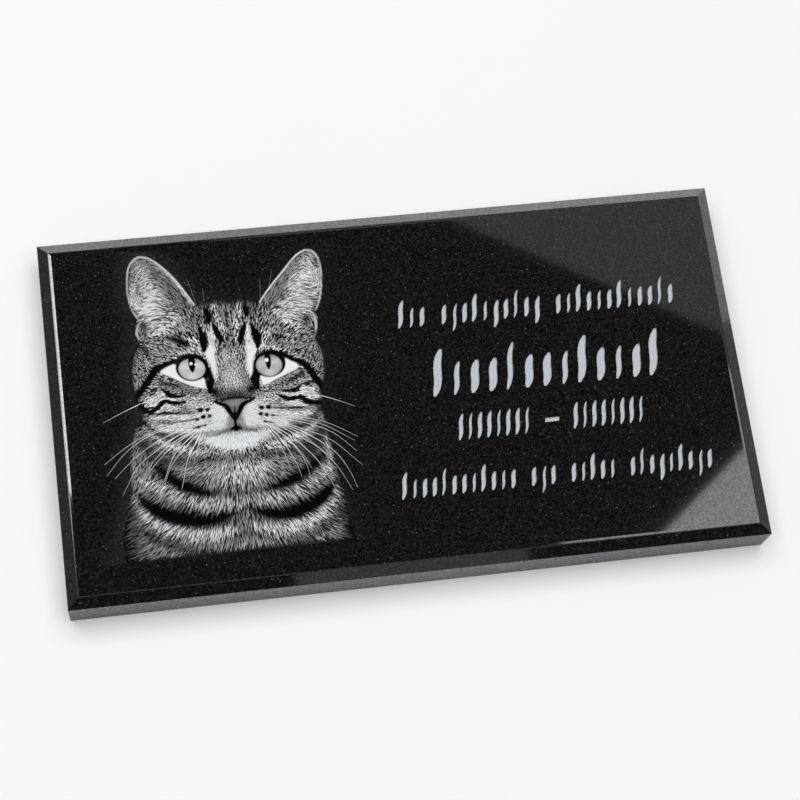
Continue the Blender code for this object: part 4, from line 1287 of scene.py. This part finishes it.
# %% Finish of the hairs
hair_finish, tree, shader, place = new_finish("etched_hair")
hair_tone = add_node(tree, "ShaderNodeAttribute", attribute_name="shade").outputs["Fac"]
share = place_group(tree, frost, Vector=place, Whiteness=hair_tone, Unevenness=0.12)["Share"]
feed(tree, shader, {
    "Base Color": blend_colours(tree, share, grey(0.004), grey(LIGHTEST, -0.02)),
    "Roughness": remap(tree, share, 0.0, 0.7, 0.15, 0.65),
    "Specular IOR Level": 0.35})

# %% Grow the fur on the head and on the chest
HAIR_LIFT = 0.02
LIFT_SPREAD = 0.08
HAIR_THICKNESS = 0.05
CLEAR_OF_FACE = 0.004
level = np.minimum(np.minimum(read(recess, u, v), read(recess, tip_u, tip_v)),
                   read(recess, middle_u, middle_v))
level = np.maximum(level - HAIR_LIFT - LIFT_SPREAD * varies, HAIR_THICKNESS / 2 + CLEAR_OF_FACE)
hair_places = on_stone(middle_u, middle_v, level)
furs = []
for name, chosen in (("etched_fur_head", kept & (in_head > 0.5)),
                     ("etched_fur_chest", kept & (in_head <= 0.5))):
    hairs = new_mesh(name + "_roots", hair_places[chosen].tolist())
    give_values(hairs, turn=turn[chosen], reach=length[chosen] * MM, girth=width[chosen] * MM,
                shade=whiteness(lightness[chosen]))
    furs.append(grown(name, hairs, slivers,
                      {"Thickness": HAIR_THICKNESS * MM, "Length Scale": 1.0, "Turn Jitter": 0.05,
                       "Seed": 7, "Finish": hair_finish}))

# %% [markdown]
# ## Growing the whiskers
#
# A whisker is a path with a width that falls towards the tip. Curve to Mesh sweeps a small ring
# along each path and closes its ends, and the point's own radius tapers it.

# %% Geometry Nodes: a tapered strand on every path
strands, given, handed = new_group(
    "whisker_strands", 'GeometryNodeTree',
    [("Geometry", 'Geometry', None), ("Sides", 'Int', 6), ("Width Scale", 'Float', 1.0),
     ("Flatness", 'Float', 0.3), ("Finish", 'Material', None)], 'Geometry', "Geometry")
path = add_node(strands, "GeometryNodeMeshToCurve", {"Mesh": given["Geometry"]})
wide = arithmetic(strands, 'MULTIPLY', stored(strands, "girth"), given["Width Scale"])
circle = add_node(strands, "GeometryNodeCurvePrimitiveCircle", {"Resolution": given["Sides"], "Radius": 0.5})
flatten = add_node(strands, "ShaderNodeCombineXYZ", {"X": 1.0, "Y": given["Flatness"], "Z": 1.0})
profile = add_node(strands, "GeometryNodeTransform",
                   {"Geometry": circle.outputs[0], "Scale": flatten.outputs[0]})
upright = add_node(strands, "GeometryNodeSetCurveNormal", {"Curve": path.outputs[0]}, mode='Z_UP')
sized = add_node(strands, "GeometryNodeSetCurveRadius", {"Curve": upright.outputs[0], "Radius": wide})
swept = add_node(strands, "GeometryNodeCurveToMesh",
                 {"Curve": sized.outputs[0], "Profile Curve": profile.outputs[0], "Fill Caps": True})
if "Scale" in swept.inputs:
    feed(strands, swept, {"Scale": wide})
end_tree(strands, given, handed, swept.outputs[0])

# %% Lay the whiskers
WHISKER_ROOT = 0.40
WHISKER_TIP = 0.15
BROW_ROOT = 0.22
WHISKER_LIFT = 0.09
FLATNESS = 0.22
places = []
edges = []
girths = []
shades = []
for path in WHISKERS + BROW_HAIRS:
    run = through(path, 10)
    along = np.linspace(0, 1, len(run))
    root, shade, fade = (BROW_ROOT, 0.42, 0.10) if path in BROW_HAIRS else (WHISKER_ROOT, 0.92, 0.27)
    girth = (root + (WHISKER_TIP - root) * along ** 0.8) * np.clip(along / 0.08, 0.35, 1)
    level = read(recess, *run.T)
    level = np.array([level[max(i - 2, 0):i + 3].min() for i in range(len(level))])
    level = np.maximum(level - WHISKER_LIFT, FLATNESS * girth / 2 + CLEAR_OF_FACE)
    edges += [(len(places) + i, len(places) + i + 1) for i in range(len(run) - 1)]
    places += on_stone(*run.T, level).tolist()
    girths += (girth * MM).tolist()
    shades += whiteness(shade - fade * along).tolist()
paths = new_mesh("whisker_paths", places, edges)
give_values(paths, girth=girths, shade=shades)
whiskers = grown("etched_whiskers", paths, strands,
                 {"Sides": 6, "Width Scale": 1.0, "Flatness": FLATNESS, "Finish": hair_finish})

# %% [markdown]
# ## The camera
#
# The photograph looks down on the slab from about seventy degrees, a little from the left, with a
# long lens, and the camera is rolled so that the slab climbs to the right.

# %% Camera
AZIMUTH = math.radians(-22.22849)
ELEVATION = math.radians(70.65388)
ROLL = math.radians(15.41546)
AIM = Vector((0.00107762, 0.00130885, 0.0))
DISTANCE = 0.86126371
back = Vector((math.sin(AZIMUTH) * math.cos(ELEVATION), -math.cos(AZIMUTH) * math.cos(ELEVATION),
               math.sin(ELEVATION)))
level_right = Vector((math.cos(AZIMUTH), math.sin(AZIMUTH), 0.0))
level_up = back.cross(level_right)
picture_right = math.cos(ROLL) * level_right + math.sin(ROLL) * level_up
picture_up = math.cos(ROLL) * level_up - math.sin(ROLL) * level_right
camera = put_in_scene("camera", bpy.data.cameras.new("camera"))
camera.data.lens = 94.1317
camera.data.sensor_width = 36.0
turned = Matrix((picture_right, picture_up, back)).transposed().to_4x4()
camera.matrix_world = Matrix.Translation(AIM + back * DISTANCE) @ turned
bpy.context.scene.camera = camera
print("camera at", [round(value, 3) for value in camera.matrix_world.translation])

# %% [markdown]
# ## Floor, light and surroundings
#
# Polished stone is a mirror, so most of its look is what stands round it. Dark overhead keeps the
# face black; a low bright card behind lights the back bevel; softboxes give the pale corner and
# the veil at the top right. The key light is a large box overhead that the polish doesn't show, so
# the shadow on the floor is short and soft.

# %% Floor
floor_mesh = new_mesh("floor", [(-6, -6, 0), (6, -6, 0), (6, 6, 0), (-6, 6, 0)], [], [(0, 1, 2, 3)])
floor = put_in_scene("floor", floor_mesh)
floor_finish, tree, shader, place = new_finish("pale_floor")
feed(tree, shader, {
    "Base Color": blend_colours(tree, noise(tree, place, 3.0, 3.0), grey(0.90), grey(0.93)),
    "Roughness": 0.9,
    "Specular IOR Level": 0.1})
floor_mesh.materials.append(floor_finish)


# %% Softboxes
def softbox(name, centre, aim, width, height, brightness, turn=0.0):
    """A rectangular light of a given brightness that only the polish shows."""
    data = bpy.data.lights.new(name, 'AREA')
    data.shape = 'RECTANGLE'
    data.size = width
    data.size_y = height
    data.energy = brightness * math.pi * width * height
    box = put_in_scene(name, data)
    facing = (Vector(aim) - Vector(centre)).to_track_quat('-Z', 'Y').to_matrix().to_4x4()
    box.matrix_world = Matrix.Translation(centre) @ facing @ Matrix.Rotation(math.radians(turn), 4, 'Z')
    box.visible_camera = False
    box.visible_diffuse = False
    return box


key = softbox("key", (-0.15, 0.15, 2.2), (-0.15, 0.15, 0), 2.4, 2.4, 2.90)
key.visible_diffuse = True
key.visible_glossy = False
softbox("back_card", (0.15, 1.5, 0.32), (0, 0, 0.02), 2.2, 0.5, 1.7)
softbox("corner_box", (0.486, 0.085, 1.0), (0.486, 0.085, 0.0), 0.40, 0.30, 3.35, turn=38.5)
softbox("veil", (0.445, 0.63, 1.0), (0.445, 0.63, 0.0), 0.9, 0.5, 0.51, turn=-30.0)
softbox("right_card", (1.2, 0.60, 0.33), (0, 0, 0.02), 0.40, 0.5, 0.98)
softbox("front_card", (0.14, -0.86, 0.88), (0, 0, 0.02), 0.22, 0.2, 0.5)
softbox("left_strip", (-0.43, 0.43, 1.0), (-0.43, 0.43, 0.0), 0.40, 0.34, 12.0)

# %% Surroundings: even and pale, but dark overhead in the polish
world = bpy.data.worlds.new("studio")
bpy.context.scene.world = world
world.use_nodes = True
tree = world.node_tree
look = add_node(tree, "ShaderNodeTexCoord").outputs["Generated"]
height = add_node(tree, "ShaderNodeSeparateXYZ", {0: look}).outputs["Z"]
in_polish = blend_colours(tree, remap(tree, height, 0.12, 0.72), grey(0.80), grey(0.043))
is_glossy = add_node(tree, "ShaderNodeLightPath").outputs["Is Glossy Ray"]
sky = blend_colours(tree, is_glossy, grey(0.25, -0.015), in_polish)
feed(tree, tree.nodes["Background"], {"Color": sky})

bpy.context.scene.view_settings.view_transform = 'Standard'

# %% [markdown]
# ## One body for every piece
#
# Every piece rides on the stone's one body. The new slab stands for the CAD slab, which is
# hidden.

# %% Ride, replace and finish
for piece in [stone, whiskers] + furs:
    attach(piece, "root")
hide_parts("granite_marker")
